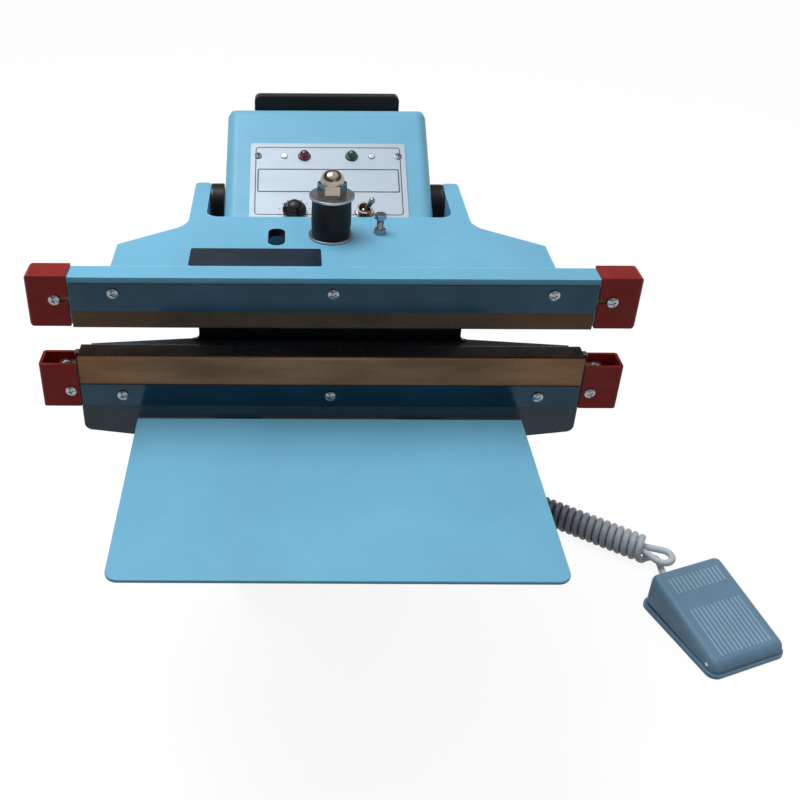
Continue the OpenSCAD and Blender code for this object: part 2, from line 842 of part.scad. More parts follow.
module rubber_feet() color([0.1, 0.1, 0.11]) in_frame()
    for (x = [-1, 1], u = [cab_toe_u + feet_inset, cab_rear_u - feet_inset])
        translate([x * (cab_w / 2 - feet_inset), u, 0]) rotate_extrude()
            polygon([[feet_bore_r, 0], [feet_d / 2 - feet_taper, 0], [feet_d / 2, feet_h], [0, feet_h],
                [0, feet_bore_h], [feet_bore_r, feet_bore_h]]);

// Lower jaw

module web_outline() {
    corner_x = bar_l / 2 - web_r;
    polygon([[-bar_l / 2, shelf_top], [-bar_l / 2, web_end_z + web_r], [-corner_x, web_end_z],
        [-web_flat_x, web_low_z], [web_flat_x, web_low_z], [corner_x, web_end_z],
        [bar_l / 2, web_end_z + web_r], [bar_l / 2, shelf_top]]);
    for (x = [-corner_x, corner_x]) translate([x, web_end_z + web_r]) circle(web_r);
}

// Sealing bar on a shelf, with a front web, a raised deck and driver holes behind the rear screws
module lower_jaw_casting() color([0.3, 0.42, 0.5]) in_frame() difference() {
    union() {
        block([-bar_l / 2, bar_front, shelf_top], [bar_l / 2, bar_rear, bar_top]);
        translate([0, 0, shelf_top - shelf_t]) linear_extrude(shelf_t)
            polygon([[-bar_l / 2, bar_front], [bar_l / 2, bar_front], [bar_l / 2, shelf_end_u],
                [shelf_x, cab_u], [-shelf_x, cab_u], [-bar_l / 2, shelf_end_u]]);
        translate([0, 0, shelf_top - seam]) linear_extrude(deck_z - shelf_top + seam)
            polygon([[-deck_x, deck_u], [deck_x, deck_u], [deck_x, shelf_end_u], [shelf_x, cab_u],
                [-shelf_x, cab_u], [-deck_x, shelf_end_u]]);
        along_u(bar_front, bar_front + web_t) web_outline();
        block([-pad_x, cab_u - pad_t, pad_low_z], [pad_x, cab_u, shelf_top]);
        both_sides() for (x = rib_x) translate([x, 0, 0])
            block([-web_t / 2, bar_front, pad_low_z + rib_rise], [web_t / 2, cab_u, shelf_top]);
        both_sides() translate([bar_l / 2 - gusset_in, 0, 0]) along_x(web_t)
            polygon([[bar_front, shelf_top], [bar_front, web_end_z],
                [bar_rear + gusset_over, shelf_top - shelf_t], [bar_rear + gusset_over, shelf_top]]);
    }
    lower_screw_places() screw_hole();
    for (x = strip_screws) translate([x, deck_u - eps, lower_rear_strip_z + rear_strip_h / 2])
        rotate([-90, 0, 0]) cylinder(h = cab_u, d = deck_hole_d);
    tray_bolt_places() bolt_hole(tray_bracket_t + web_t + eps);
    pad_bolt_places() bolt_hole(sheet_t + pad_t + eps);
}

// A block in the end cap that carries the terminal
module end_block(z) {
    block([bar_l / 2, cap_front_in, z], [bar_l / 2 + block_l, cap_front_in + block_d, z + block_h]);
}

// Insulating strip under the ribbon, and the two blocks that hold the ribbon's ends
module lower_insulators() color([0.75, 0.62, 0.42]) in_frame() difference() {
    union() {
        translate([0, jaw_mid, bar_top + insulator_t / 2])
            cube([cover_l, insulator_w, insulator_t], center = true);
        both_sides() end_block(lower_block_z);
    }
    lower_cap_screw_places() screw_hole();
    lower_terminal_places() screw_hole();
}

// A ribbon's legs in the caps, each with a foot under its terminal screw
module ribbon_ends(z0, z1, foot_z) {
    both_sides() translate([leg_x, jaw_mid - ribbon_w / 2, 0]) {
        block([0, 0, z0], [ribbon_t, ribbon_w, z1]);
        block([0, 0, foot_z], [ribbon_foot_l, ribbon_w, foot_z + ribbon_t]);
    }
}

module lower_heating_element() color([0.7, 0.7, 0.72]) in_frame() difference() {
    union() {
        translate([0, jaw_mid, bar_top + insulator_t + ribbon_t / 2])
            cube([2 * (leg_x + ribbon_t), ribbon_w, ribbon_t], center = true);
        ribbon_ends(lower_terminal_z, bar_top + insulator_t + ribbon_t, lower_terminal_z);
    }
    lower_terminal_places() screw_hole();
}

module lower_ptfe_cover() color([0.42, 0.32, 0.22]) in_frame() difference() {
    low_z = lower_strip_z + strip_overlap;
    along_x(cover_l) polygon([[bar_front - cover_t, low_z], [bar_front - cover_t, seal_z],
        [bar_rear + cover_t, seal_z], [bar_rear + cover_t, lower_rear_strip_z],
        [bar_rear, lower_rear_strip_z], [bar_rear, seal_z - cover_t],
        [bar_front, seal_z - cover_t], [bar_front, low_z]]);
    lower_screw_places() screw_hole();
}

module clamp_strips(front_z, front_h, rear_z) {
    rear_u = bar_rear + cover_t;
    block([-cover_l / 2, 0, front_z], [cover_l / 2, strip_t, front_z + front_h]);
    block([-cover_l / 2, rear_u, rear_z], [cover_l / 2, rear_u + strip_t, rear_z + rear_strip_h]);
}

module lower_clamp_strips() color([0.75, 0.77, 0.8]) in_frame() difference() {
    clamp_strips(lower_strip_z, lower_strip_h, lower_rear_strip_z);
    lower_screw_places() screw_hole();
}

// Caps open towards the bar and at one face, which shows the terminal
module lower_end_caps() color([0.62, 0.16, 0.13]) in_frame() difference() {
    both_sides() difference() {
        block([bar_l / 2, cap_u, lower_cap_z],
            [bar_l / 2 + lower_cap_l, cap_u + cap_d, lower_cap_z + lower_cap_h]);
        block([bar_l / 2 - eps, cap_front_in, lower_cap_z + cap_wall],
            [bar_l / 2 + lower_cap_l - cap_wall, cap_front_in + block_d, lower_cap_z + lower_cap_h + eps]);
    }
    lower_cap_screw_places() screw_hole();
}

// A terminal that stands on the given height
module terminal(z) {
    block([terminal_x, jaw_mid - terminal_d / 2, z],
        [terminal_x + terminal_l, jaw_mid + terminal_d / 2, z + terminal_h]);
}

module lower_terminals() color([0.78, 0.6, 0.3]) in_frame() difference() {
    both_sides() terminal(lower_terminal_z - terminal_h);
    lower_terminal_places() screw_hole();
}

// Small screws that stay with the base: strips, caps, terminals and panel
module pan_screws() color([0.8, 0.82, 0.84]) {
    in_frame() {
        lower_screw_places() pan_screw(screw_d, screw_l);
        lower_cap_screw_places() pan_screw(screw_d, screw_l);
        lower_terminal_places() pan_screw(screw_d, short_screw_l);
    }
    on_slope() both_sides() translate([panel_screw_x, lamp_t, panel_t])
        pan_screw(panel_screw_d, short_screw_l);
}

// Upper arm

module arm_outline() {
    polygon([[-plate_w / 2, bar_rear], [plate_w / 2, bar_rear], [plate_w / 2, shoulder_u],
        [fork_w / 2, waist_u], [fork_w / 2, pivot_u], [-fork_w / 2, pivot_u], [-fork_w / 2, waist_u],
        [-plate_w / 2, shoulder_u]]);
}

module fork_arms_outline() {
    for (x = [-1, 1]) translate([x * (fork_w - fork_arm_w) / 2, (bar_rear + pivot_u + lug_r) / 2])
        round_rect(fork_arm_w, pivot_u + lug_r - bar_rear, arm_r);
}

module fork_cutout() {
    translate([-lug_x, cutout_u + cutout_r]) square([2 * lug_x, pivot_u]);
    translate([-lug_x + cutout_r, cutout_u]) square([2 * (lug_x - cutout_r), pivot_u]);
    for (x = [-1, 1]) translate([x * (lug_x - cutout_r), cutout_u + cutout_r]) circle(cutout_r);
}

module fork_side() {
    polygon([[bar_rear, arm_z], [bar_rear, plate_z - rib_h], [lug_front_u, plate_z - rib_h],
        [pivot_u - lug_r, pivot_z], [pivot_u + lug_r, pivot_z], [pivot_u + lug_r, arm_z]]);
    translate([pivot_u, pivot_z]) circle(lug_r);
}

// A round hole through the plate
module plate_hole(x, u, r) {
    translate([x, u, plate_z - eps]) cylinder(h = plate_t + 2 * eps, r = r);
}

module upper_arm() color([0.48, 0.71, 0.84]) in_frame() difference() {
    union() {
        translate([0, 0, plate_z]) linear_extrude(plate_t) difference() {
            union() {
                arm_outline();
                fork_arms_outline();
            }
            fork_cutout();
        }
        intersection() {
            along_x(fork_w) fork_side();
            translate([0, 0, pivot_z - lug_r - eps]) linear_extrude(arm_rise + lug_r + eps)
                fork_arms_outline();
        }
    }
    translate([-slot_x, rod_u - slot_set, plate_z - eps]) linear_extrude(plate_t + 2 * eps)
        obround(slot_w, slot_l);
    plate_hole(0, rod_u, rod_d / 2 + fit_gap);
    plate_hole(limit_x, limit_u, limit_d / 2 + fit_gap);
    translate([0, pivot_u, pivot_z]) rod_x(-fork_w, fork_w, bush_r + tight_gap);
}

module upper_jaw_beam() color([0.48, 0.71, 0.84]) in_frame() difference() {
    along_x(bar_l) difference() {
        translate([bar_front, beam_z]) square([bar_d, arm_z - beam_z]);
        translate([bar_front + beam_wall, beam_z + beam_wall])
            square([bar_d - 2 * beam_wall, arm_z - beam_z - 2 * beam_wall]);
    }
    upper_screw_places() screw_hole();
}

module upper_silicone_pad() color([0.7, 0.36, 0.26]) in_frame() along_x(cover_l)
    polygon([[bar_front, beam_z], [bar_rear, beam_z], [bar_rear, face_z(bar_rear) + stack_rise],
        [bar_front, face_z(bar_front) + stack_rise]]);

module upper_heating_element() color([0.7, 0.7, 0.72]) in_frame() difference() {
    union() {
        translate([0, jaw_mid, pivot_z]) rotate([-close_a, 0, 0])
            translate([0, 0, cover_t + sheet_play + ribbon_t / 2])
                cube([2 * (leg_x + ribbon_t), ribbon_w, ribbon_t], center = true);
        ribbon_ends(pivot_z + cover_t + sheet_play, upper_terminal_z, upper_terminal_z - ribbon_t);
    }
    upper_terminal_places() screw_hole();
}

module upper_ptfe_cover() color([0.42, 0.32, 0.22]) in_frame() difference() {
    high_z = upper_strip_z + upper_strip_h - strip_overlap;
    rear_z = upper_rear_strip_z + rear_strip_h;
    along_x(cover_l) polygon([[bar_front - cover_t, high_z],
        [bar_front - cover_t, face_z(bar_front - cover_t)],
        [bar_rear + cover_t, face_z(bar_rear + cover_t)], [bar_rear + cover_t, rear_z], [bar_rear, rear_z],
        [bar_rear, face_z(bar_rear) + sheet_rise], [bar_front, face_z(bar_front) + sheet_rise],
        [bar_front, high_z]]);
    upper_screw_places() screw_hole();
}

module upper_clamp_strips() color([0.75, 0.77, 0.8]) in_frame() difference() {
    clamp_strips(upper_strip_z, upper_strip_h, upper_rear_strip_z);
    upper_screw_places() screw_hole();
}

module upper_end_caps() color([0.62, 0.16, 0.13]) in_frame() difference() {
    slot_z = upper_block_z + (block_h - cap_slot_w) / 2;
    cap_end_x = bar_l / 2 + upper_cap_l;
    cap_top_z = upper_cap_z + upper_cap_h;
    both_sides() difference() {
        block([bar_l / 2, cap_u, upper_cap_z], [cap_end_x, cap_u + cap_d, cap_top_z]);
        block([bar_l / 2 - eps, cap_front_in, upper_cap_z - eps],
            [cap_end_x - cap_wall, cap_front_in + block_d, cap_top_z - cap_wall]);
        block([bar_l / 2 - eps, cap_u - eps, slot_z], [cap_screw_x, cap_front_in, slot_z + cap_slot_w]);
    }
    upper_cap_screw_places() screw_hole();
}

module upper_end_blocks() color([0.75, 0.62, 0.42]) in_frame() difference() {
    both_sides() end_block(upper_block_z);
    upper_cap_screw_places() screw_hole();
    upper_terminal_places() screw_hole();
}

module upper_terminals() color([0.78, 0.6, 0.3]) in_frame() difference() {
    both_sides() terminal(upper_terminal_z);
    upper_terminal_places() screw_hole();
}

module upper_pan_screws() color([0.8, 0.82, 0.84]) in_frame() {
    upper_screw_places() pan_screw(screw_d, screw_l);
    upper_cap_screw_places() pan_screw(screw_d, screw_l);
    upper_terminal_places() pan_screw(screw_d, short_screw_l);
}

// Pull rod, buffer and limit screw

module pull_rod() color([0.68, 0.7, 0.72]) in_frame() translate([0, rod_u, 0]) difference() {
    union() {
        translate([0, 0, pivot_z]) cylinder(h = rod_top_z - pivot_z, d = rod_d);
        translate([0, 0, pivot_z]) rod_x(-eye_w / 2, eye_w / 2, eye_r);
    }
    for (side = [0, 1]) mirror([side, 0, 0])
        block([eye_w / 2, -rod_d, pivot_z - rod_d], [rod_d, rod_d, pivot_z + eye_r]);
    translate([0, 0, pivot_z]) rod_x(-rod_d, rod_d, eye_bore_r);
}

// A ring round the pull rod
module ring(d, z0, z1) {
    translate([0, rod_u, z0]) difference() {
        cylinder(h = z1 - z0, d = d);
        translate([0, 0, -eps]) cylinder(h = z1 - z0 + 2 * eps, r = rod_d / 2 + fit_gap);
    }
}

module buffer_rubber() color([0.09, 0.1, 0.12]) in_frame() ring(buffer_d, washer_z, top_washer_z);

module buffer_washers() color([0.62, 0.64, 0.66]) in_frame() for (z = [arm_z, top_washer_z])
    ring(washer_d, z, z + washer_t);

module dome_nut() color([0.82, 0.83, 0.85]) in_frame() translate([0, rod_u, nut_z]) difference() {
    union() {
        intersection() {
            hexagon(dome_af, dome_h / 2);
            cylinder(h = dome_h / 2, r1 = dome_af / 2 + dome_chamfer, r2 = dome_af);
        }
        translate([0, 0, dome_h / 2 - seam]) cylinder(h = dome_h / 2 - dome_r + seam, r = dome_r);
        translate([0, 0, dome_h - dome_r]) sphere(dome_r);
    }
    translate([0, 0, -eps]) cylinder(h = rod_top_z - nut_z + 2 * eps, r = rod_d / 2 + tight_gap);
}

// The screw with its head at the top, and the lock nut on the plate
module limit_screw() color([0.8, 0.82, 0.84]) in_frame() translate([limit_x, limit_u, 0]) {
    translate([0, 0, limit_tip_z]) cylinder(h = arm_z + limit_up - limit_tip_z, d = limit_d);
    translate([0, 0, arm_z + limit_up - limit_nut_h]) hexagon(limit_af, limit_nut_h);
    translate([0, 0, arm_z]) difference() {
        hexagon(limit_af, limit_nut_h);
        translate([0, 0, -eps]) cylinder(h = limit_nut_h + 2 * eps, r = limit_d / 2 + tight_gap);
    }
}

// Hinge

module on_hinge() {
    in_frame() both_sides() translate([0, pivot_u, pivot_z]) children();
}

module pivot_bushes() color([0.76, 0.58, 0.3]) on_hinge() difference() {
    union() {
        rod_x(lug_x, fork_w / 2, bush_r);
        rod_x(lug_x - hinge_gap + clear_gap, lug_x, bush_r + bush_flange_w);
    }
    rod_x(0, fork_w, pin_d / 2 + running_gap);
}

module pivot_pins() color([0.7, 0.72, 0.74]) on_hinge() {
    head_x = fork_w / 2 + clear_gap;
    rod_x(bracket_x, head_x + pin_head_t, pin_d / 2);
    rod_x(head_x, head_x + pin_head_t, pin_d / 2 + pin_head_w);
}

module hinge_brackets() color([0.12, 0.12, 0.13]) in_frame() difference() {
    both_sides() translate([bracket_x + bracket_t / 2, 0, 0]) along_x(bracket_t) difference() {
        union() {
            translate([pivot_u - bracket_w / 2, bracket_low_z])
                square([bracket_w, bracket_round_z - bracket_low_z]);
            translate([pivot_u, bracket_round_z]) circle(bracket_w / 2);
        }
        translate([pivot_u, pivot_z]) circle(pin_d / 2 + tight_gap);
    }
    bracket_bolt_places() bolt_hole(bracket_t + eps);
}

// Hexagon bolts: hinge brackets, casting to cabinet, tray brackets
module frame_bolts() color([0.6, 0.62, 0.64]) in_frame() {
    bracket_bolt_places() hex_bolt(bracket_t + sheet_t + bolt_end);
    pad_bolt_places() hex_bolt(sheet_t + pad_t);
    tray_bolt_places() hex_bolt(tray_bracket_t + web_t);
}

// Solenoid that pulls the arm down

module solenoid_frame() color([0.45, 0.46, 0.48]) in_frame() difference() {
    block([-solenoid_w / 2, solenoid_front, solenoid_z],
        [solenoid_w / 2, solenoid_front + solenoid_l, solenoid_top]);
    block([-solenoid_w, solenoid_front + solenoid_t, coil_low_z],
        [solenoid_w, solenoid_front + solenoid_l - solenoid_t, coil_high_z]);
    translate([0, rod_u, coil_high_z - eps]) cylinder(h = solenoid_t + 2 * eps, r = plunger_r + clear_gap);
}

module solenoid_coil() color([0.72, 0.38, 0.18]) in_frame() translate([0, rod_u, 0]) rotate_extrude()
    polygon([[plunger_r + clear_gap, coil_low_z], [coil_r, coil_low_z], [coil_r, coil_low_z + coil_flange_t],
        [coil_r - coil_step, coil_low_z + coil_flange_t], [coil_r - coil_step, coil_high_z - coil_flange_t],
        [coil_r, coil_high_z - coil_flange_t], [coil_r, coil_high_z], [plunger_r + clear_gap, coil_high_z]]);

module solenoid_plunger() color([0.68, 0.7, 0.72]) in_frame() translate([0, rod_u, 0]) difference() {
    union() {
        translate([0, 0, plunger_low_z]) cylinder(h = collar_z - plunger_low_z, r = plunger_r);
        translate([0, 0, collar_z - collar_t]) cylinder(h = collar_t, r = collar_r);
        for (x = [-ear_x - ear_w, ear_x]) {
            block([x, -ear_r, collar_z - collar_t], [x + ear_w, ear_r, pivot_z]);
            translate([0, 0, pivot_z]) rod_x(x, x + ear_w, ear_r);
        }
    }
    translate([0, 0, pivot_z]) rod_x(-ear_x - ear_w - eps, ear_x + ear_w + eps, clevis_d / 2 + tight_gap);
}

module clevis_pin() color([0.7, 0.72, 0.74]) in_frame() translate([0, rod_u, pivot_z])
    rod_x(-ear_x - ear_w - clevis_end, ear_x + ear_w + clevis_end, clevis_d / 2);

module return_spring() color([0.55, 0.57, 0.6]) in_frame() translate([0, rod_u, solenoid_top])
    coil_spring(spring_r, spring_wire, collar_z - collar_t - solenoid_top - seam, spring_turns);

// Transformer, timer board and limit switch

module in_transformer() {
    in_frame() translate([0, cab_rear_u - core_in, cab_low_z + core_h / 2]) children();
}

module transformer_core() color([0.35, 0.36, 0.38]) in_transformer() difference() {
    cube([core_w, core_d, core_h], center = true);
    for (side = [-1, 1]) translate([side * (limb_w + window_w) / 2, 0, 0])
        cube([window_w, core_d + 2 * eps, window_h], center = true);
}

module transformer_winding() color([0.72, 0.38, 0.18]) in_transformer() difference() {
    cube([limb_w + 2 * winding_t, core_d + 2 * winding_t, window_h - 2 * winding_end_gap], center = true);
    cube([limb_w + 2 * winding_gap, core_d + 2 * winding_gap, core_h], center = true);
}

// Board on four standoffs, with its relay and two capacitors
module timer_board() color([0.12, 0.36, 0.2]) in_frame()
    translate([-cab_w / 2 + sheet_t, cab_u + board_u, board_z]) {
        translate([standoff_l, 0, 0]) cube(board_size);
        for (u = [standoff_in, board_size[1] - standoff_in], z = [standoff_in, board_size[2] - standoff_in])
            translate([0, u, z]) rod_x(0, standoff_l, standoff_r);
        translate([board_face, relay_at[0], relay_at[1]]) cube(relay_size);
        for (at = capacitor_at) translate([0, at[0], at[1]])
            rod_x(board_face, board_face + capacitor_l, capacitor_r);
    }

module limit_switch() color([0.15, 0.15, 0.16]) in_frame() translate([limit_x, limit_u, cab_z]) difference() {
    linear_extrude(limit_body_z - cab_z) square(switch_size, center = true);
    translate([0, 0, limit_body_z - cab_z - button_well]) linear_extrude(button_well + eps)
        square(button_size + 2 * [clear_gap, clear_gap], center = true);
}

module limit_button() color([0.75, 0.2, 0.15]) in_frame()
    translate([limit_x, limit_u, limit_body_z - button_in]) linear_extrude(button_show + button_in)
        square(button_size, center = true);

// Console

module console_profile() {
    brow = [console_rear_u - brow_r, under_slope(console_rear_u - brow_r, brow_r)];
    lip = [console_u + lip_r, under_slope(console_u + lip_r, lip_r)];
    polygon(concat([[console_rear_u, cab_z]], arc(brow, brow_r, 0, 90 + slope_a),
        arc(lip, lip_r, 90 + slope_a, 180), [[console_u, cab_z]]));
}

module console_cavity() {
    front = console_u + console_wall;
    rear = console_rear_u - console_wall;
    polygon([[front, cab_z - eps], [front, under_slope(front, console_wall)],
        [rear, under_slope(rear, console_wall)], [rear, cab_z - eps]]);
}

module control_hole(x, t, r) {
    translate([x, t, -hole_depth]) cylinder(h = 2 * hole_depth, r = r + fit_gap);
}

module control_holes() {
    for (x = [-lamp_x, lamp_x]) control_hole(x, lamp_t, lamp_stem_r);
    for (x = [-panel_screw_x, panel_screw_x]) control_hole(x, lamp_t, panel_screw_d / 2);
    control_hole(-knob_x, knob_t, pot_bush_r);
    control_hole(toggle_x, toggle_t, toggle_bush_r);
}

// The housing is rounded twice: its profile along the width, and its long edges along the slope
module console_housing() color([0.48, 0.71, 0.84]) difference() {
    intersection() {
        in_frame() along_x(console_w) console_profile();
        on_slope() rotate([90, 0, 0]) linear_extrude(height = 2 * cab_l, center = true)
            translate([0, -cab_l / 2]) round_rect(console_w, cab_l, edge_r);
    }
    in_frame() along_x(console_w - 2 * console_wall) console_cavity();
    on_slope() control_holes();
}

module control_panel() color([0.85, 0.88, 0.9]) on_slope() difference() {
    translate([0, panel_low + panel_l / 2, 0]) linear_extrude(panel_t) round_rect(panel_w, panel_l, panel_r);
    control_holes();
}

// A lamp with its bezel ring and domed lens
module lamp() {
    translate([0, 0, -lamp_l]) cylinder(h = lamp_l + panel_t + seam, r = lamp_stem_r);
    translate([0, 0, panel_t]) {
        cylinder(h = bezel_h, r1 = lamp_d / 2 + bezel_w, r2 = lamp_d / 2);
        translate([0, 0, bezel_h - seam]) intersection() {
            sphere(lens_r);
            cylinder(h = lamp_d, d = lamp_d);
        }
    }
}

module power_lamp() color([0.05, 0.35, 0.18]) on_slope() translate([lamp_x, lamp_t, 0]) lamp();

module heat_lamp() color([0.5, 0.06, 0.08]) on_slope() translate([-lamp_x, lamp_t, 0]) lamp();

// Knob with a conical skirt, a domed cap and a grooved nose that points to the scale
module timer_knob() color([0.08, 0.08, 0.09]) on_slope() translate([-knob_x, knob_t, knob_z]) {
    difference() {
        union() {
            cylinder(h = knob_skirt_h, d1 = knob_d, d2 = knob_cap_d);
            rotate_extrude() intersection() {
                translate([0, knob_h - knob_crown]) circle(knob_crown);
                square([knob_cap_d / 2, knob_h]);
            }
            block([-knob_cap_d / 2 - nose_out, -nose_w / 2, knob_skirt_h - seam], [0, nose_w / 2, nose_z]);
        }
        block([-knob_d, -pointer_w / 2, nose_z - pointer_d], [-knob_cap_d / 2, pointer_w / 2, nose_z + eps]);
    }
    translate([0, 0, -shaft_l]) cylinder(h = shaft_l + seam, r = shaft_r);
}

module timer_potentiometer() color([0.5, 0.52, 0.54]) on_slope() translate([-knob_x, knob_t, 0])
    difference() {
        union() {
            translate([0, 0, -console_wall - pot_h]) cylinder(h = pot_h, r = pot_r);
            translate([0, 0, -hole_depth]) cylinder(h = hole_depth + panel_t + seam, r = pot_bush_r);
            translate([0, 0, panel_t]) hexagon(pot_nut_af, pot_nut_h);
        }
        translate([0, 0, -pot_bore_h]) cylinder(h = pot_bore_h + knob_z, r = shaft_r + running_gap);
    }

module toggle_switch() color([0.72, 0.74, 0.76]) on_slope() translate([toggle_x, toggle_t, 0]) difference() {
    mouth_r = toggle_ball_r + clear_gap;
    union() {
        translate([0, 0, -console_wall - toggle_body[2]]) linear_extrude(toggle_body[2])
            square([toggle_body[0], toggle_body[1]], center = true);
        translate([0, 0, -hole_depth]) cylinder(h = hole_depth + toggle_bush_h, r = toggle_bush_r);
        translate([0, 0, panel_t]) hexagon(toggle_nut_af, toggle_nut_h);
    }
    translate([0, 0, toggle_pivot]) {
        sphere(mouth_r);
        cylinder(h = toggle_mouth_h, r1 = mouth_r, r2 = mouth_r + toggle_mouth);
        translate([0, 0, toggle_mouth_h - seam]) cylinder(h = toggle_bush_h, r = mouth_r + toggle_mouth);
    }
}

// Bat lever, drawn leaning to the right
module toggle_lever() color([0.82, 0.84, 0.86]) on_slope() translate([toggle_x, toggle_t, toggle_pivot]) {
    sphere(toggle_ball_r);
    rotate([0, toggle_a, 0]) {
        cylinder(h = toggle_l - lever_tip_r, r1 = lever_r, r2 = lever_tip_r);
        translate([0, 0, toggle_l - lever_tip_r]) sphere(lever_tip_r);
    }
}

// The cover's outline in depth and height, drawn in by the given wall
module hood_profile(wall, low_z) {
    front = console_rear_u + wall;
    rear = cab_rear_u - hood_set - wall;
    top = cab_z + hood_h - wall;
    polygon([[front, low_z], [front, top], [console_rear_u + hood_top_l, top], [rear, top - hood_rear_drop],
        [rear, low_z]]);
}

// Cover with a narrow flat top that slopes down to the louvred rear
module rear_cover() color([0.1, 0.1, 0.11]) in_frame() difference() {
    intersection() {
        along_x(hood_w) hood_profile(0, cab_z);
        along_u(console_rear_u, cab_rear_u) {
            translate([0, cab_z + (hood_h - hood_r) / 2]) square([hood_w, hood_h - hood_r], center = true);
            translate([0, cab_z + hood_h / 2]) round_rect(hood_w, hood_h, hood_r);
        }
    }
    along_x(hood_w - 2 * (hood_wall + hood_r)) hood_profile(hood_wall, cab_z - eps);
    for (i = [0 : louvre_n - 1])
        translate([0, cab_rear_u - hood_set, cab_z + hood_louvre_rise + i * louvre_step])
            block([-hood_w / 2 + hood_louvre_in, -hood_wall - eps, 0],
                [hood_w / 2 - hood_louvre_in, eps, louvre_h]);
}

// Tray

// Plate with two round corners at the front
module tray() color([0.48, 0.71, 0.84]) in_frame()
    translate([0, -tray_gap - tray_l / 2, tray_low_z]) linear_extrude(tray_t) {
        round_rect(tray_w, tray_l, tray_r);
        translate([0, tray_l / 4]) square([tray_w, tray_l / 2], center = true);
    }

// Angle brackets under the tray, each with a rib
module tray_brackets() color([0.48, 0.71, 0.84]) in_frame() difference() {
    for (x = [-tray_bracket_x, tray_bracket_x]) translate([x, 0, 0]) {
        block([-tray_bracket_w / 2, bar_front - tray_bracket_t, tray_leg_z],
            [tray_bracket_w / 2, bar_front, tray_low_z]);
        block([-tray_bracket_w / 2, -tray_arm_l, tray_low_z - tray_bracket_t],
            [tray_bracket_w / 2, bar_front, tray_low_z]);
        along_x(tray_rib_t) polygon([[bar_front, tray_leg_z], [bar_front, tray_low_z],
            [-tray_arm_l + tray_rib_end, tray_low_z]]);
    }
    tray_bolt_places() bolt_hole(tray_bracket_t + eps);
}

// Foot switch

module foot_switch_base() color([0.35, 0.48, 0.58]) in_pedal() difference() {
    union() {
        linear_extrude(lip_h) round_rect(pedal_w, pedal_l, tread_r + lip_in);
        translate([0, 0, lip_h - seam]) linear_extrude(rim_h + seam) difference() {
            round_rect(rim_w, rim_l, rim_r);
            round_rect(rim_w - 2 * rim_t, rim_l - 2 * rim_t, rim_r - rim_t);
        }
        for (x = [-post_x, post_x]) translate([x, pedal_pin_y, 0]) {
            block([-post_w / 2, -post_r, lip_h - seam], [post_w / 2, post_r, pedal_pin_z]);
            translate([0, 0, pedal_pin_z]) rod_x(-post_w / 2, post_w / 2, post_r);
        }
    }
    translate([0, pedal_pin_y, pedal_pin_z]) rod_x(-pedal_w, pedal_w, pedal_pin_r + tight_gap);
    translate([0, pedal_l / 2 - relief_in, relief_z]) rotate([-90, 0, 0])
        cylinder(h = relief_in + eps, r = relief_r + tight_gap);
}

// Rounded shell of the tread, drawn in by the given wall
module tread_body(wall) {
    r = tread_r - wall / 2;
    x = tread_w / 2 - wall - r;
    y = tread_l / 2 - wall - r;
    hull() for (sx = [-x, x], sy = [-y, y]) {
        translate([sx, sy, tread_mid_z + sy * tan(tread_tilt) + tread_r - wall - r]) sphere(r, $fn = 24);
        translate([sx, sy, lip_h]) cylinder(h = eps, r = r, $fn = 24);
    }
}

// Ribs along the sloped top
module tread_ribs(count, y, l) {
    translate([0, 0, tread_mid_z]) rotate([tread_tilt, 0, 0]) for (i = [0 : count - 1])
        translate([(i - (count - 1) / 2) * tread_rib_step - tread_rib_w / 2, y, tread_r - tread_rib_h])
            cube([tread_rib_w, l, 2 * tread_rib_h]);
}

module foot_switch_tread() color([0.37, 0.51, 0.61]) in_pedal() difference() {
    union() {
        tread_body(0);
        tread_ribs(rear_ribs, tread_l / 2 - rear_rib_in - rear_rib_l, rear_rib_l);
        tread_ribs(front_ribs, -tread_l / 2 + front_rib_in, front_rib_l);
    }
    tread_body(tread_wall);
    along_x(2 * pedal_w) polygon([[-pedal_l, 0], [pedal_l, 0], [tread_l / 2, skirt_rear_z],
        [-tread_l / 2, skirt_front_z]]);
    translate([0, pedal_pin_y, pedal_pin_z]) rod_x(-pedal_w, pedal_w, pedal_pin_r + running_gap);
    block([-relief_r - relief_play, tread_l / 2 - tread_r, 0],
        [relief_r + relief_play, tread_l / 2 + eps, relief_z + relief_r + relief_play + tread_drop]);
}

module foot_switch_pin() color([0.65, 0.67, 0.7]) in_pedal() translate([0, pedal_pin_y, pedal_pin_z])
    rod_x(-tread_w / 2 - pedal_pin_end, tread_w / 2 + pedal_pin_end, pedal_pin_r);

module foot_switch_spring() color([0.55, 0.57, 0.6]) in_pedal() translate([0, spring_y, lip_h])
    coil_spring(pedal_spring_r, pedal_spring_wire,
        tread_under(spring_y - pedal_spring_r) - lip_h - 2 * clear_gap, pedal_spring_turns);

// The switch stands on the base, and the pressed tread stops just over its button
module foot_micro_switch() color([0.15, 0.15, 0.16]) in_pedal() {
    button_z = tread_under(micro_button_y) - (micro_button_y - pedal_pin_y) * sin(tread_a) - clear_gap;
    block(concat(micro_low, lip_h), concat(micro_high, lip_h + micro_h));
    block([-micro_button_w / 2, micro_button_y, lip_h + micro_h - seam],
        [micro_button_w / 2, micro_button_y + micro_button_w, button_z]);
}

// Cord and its glands

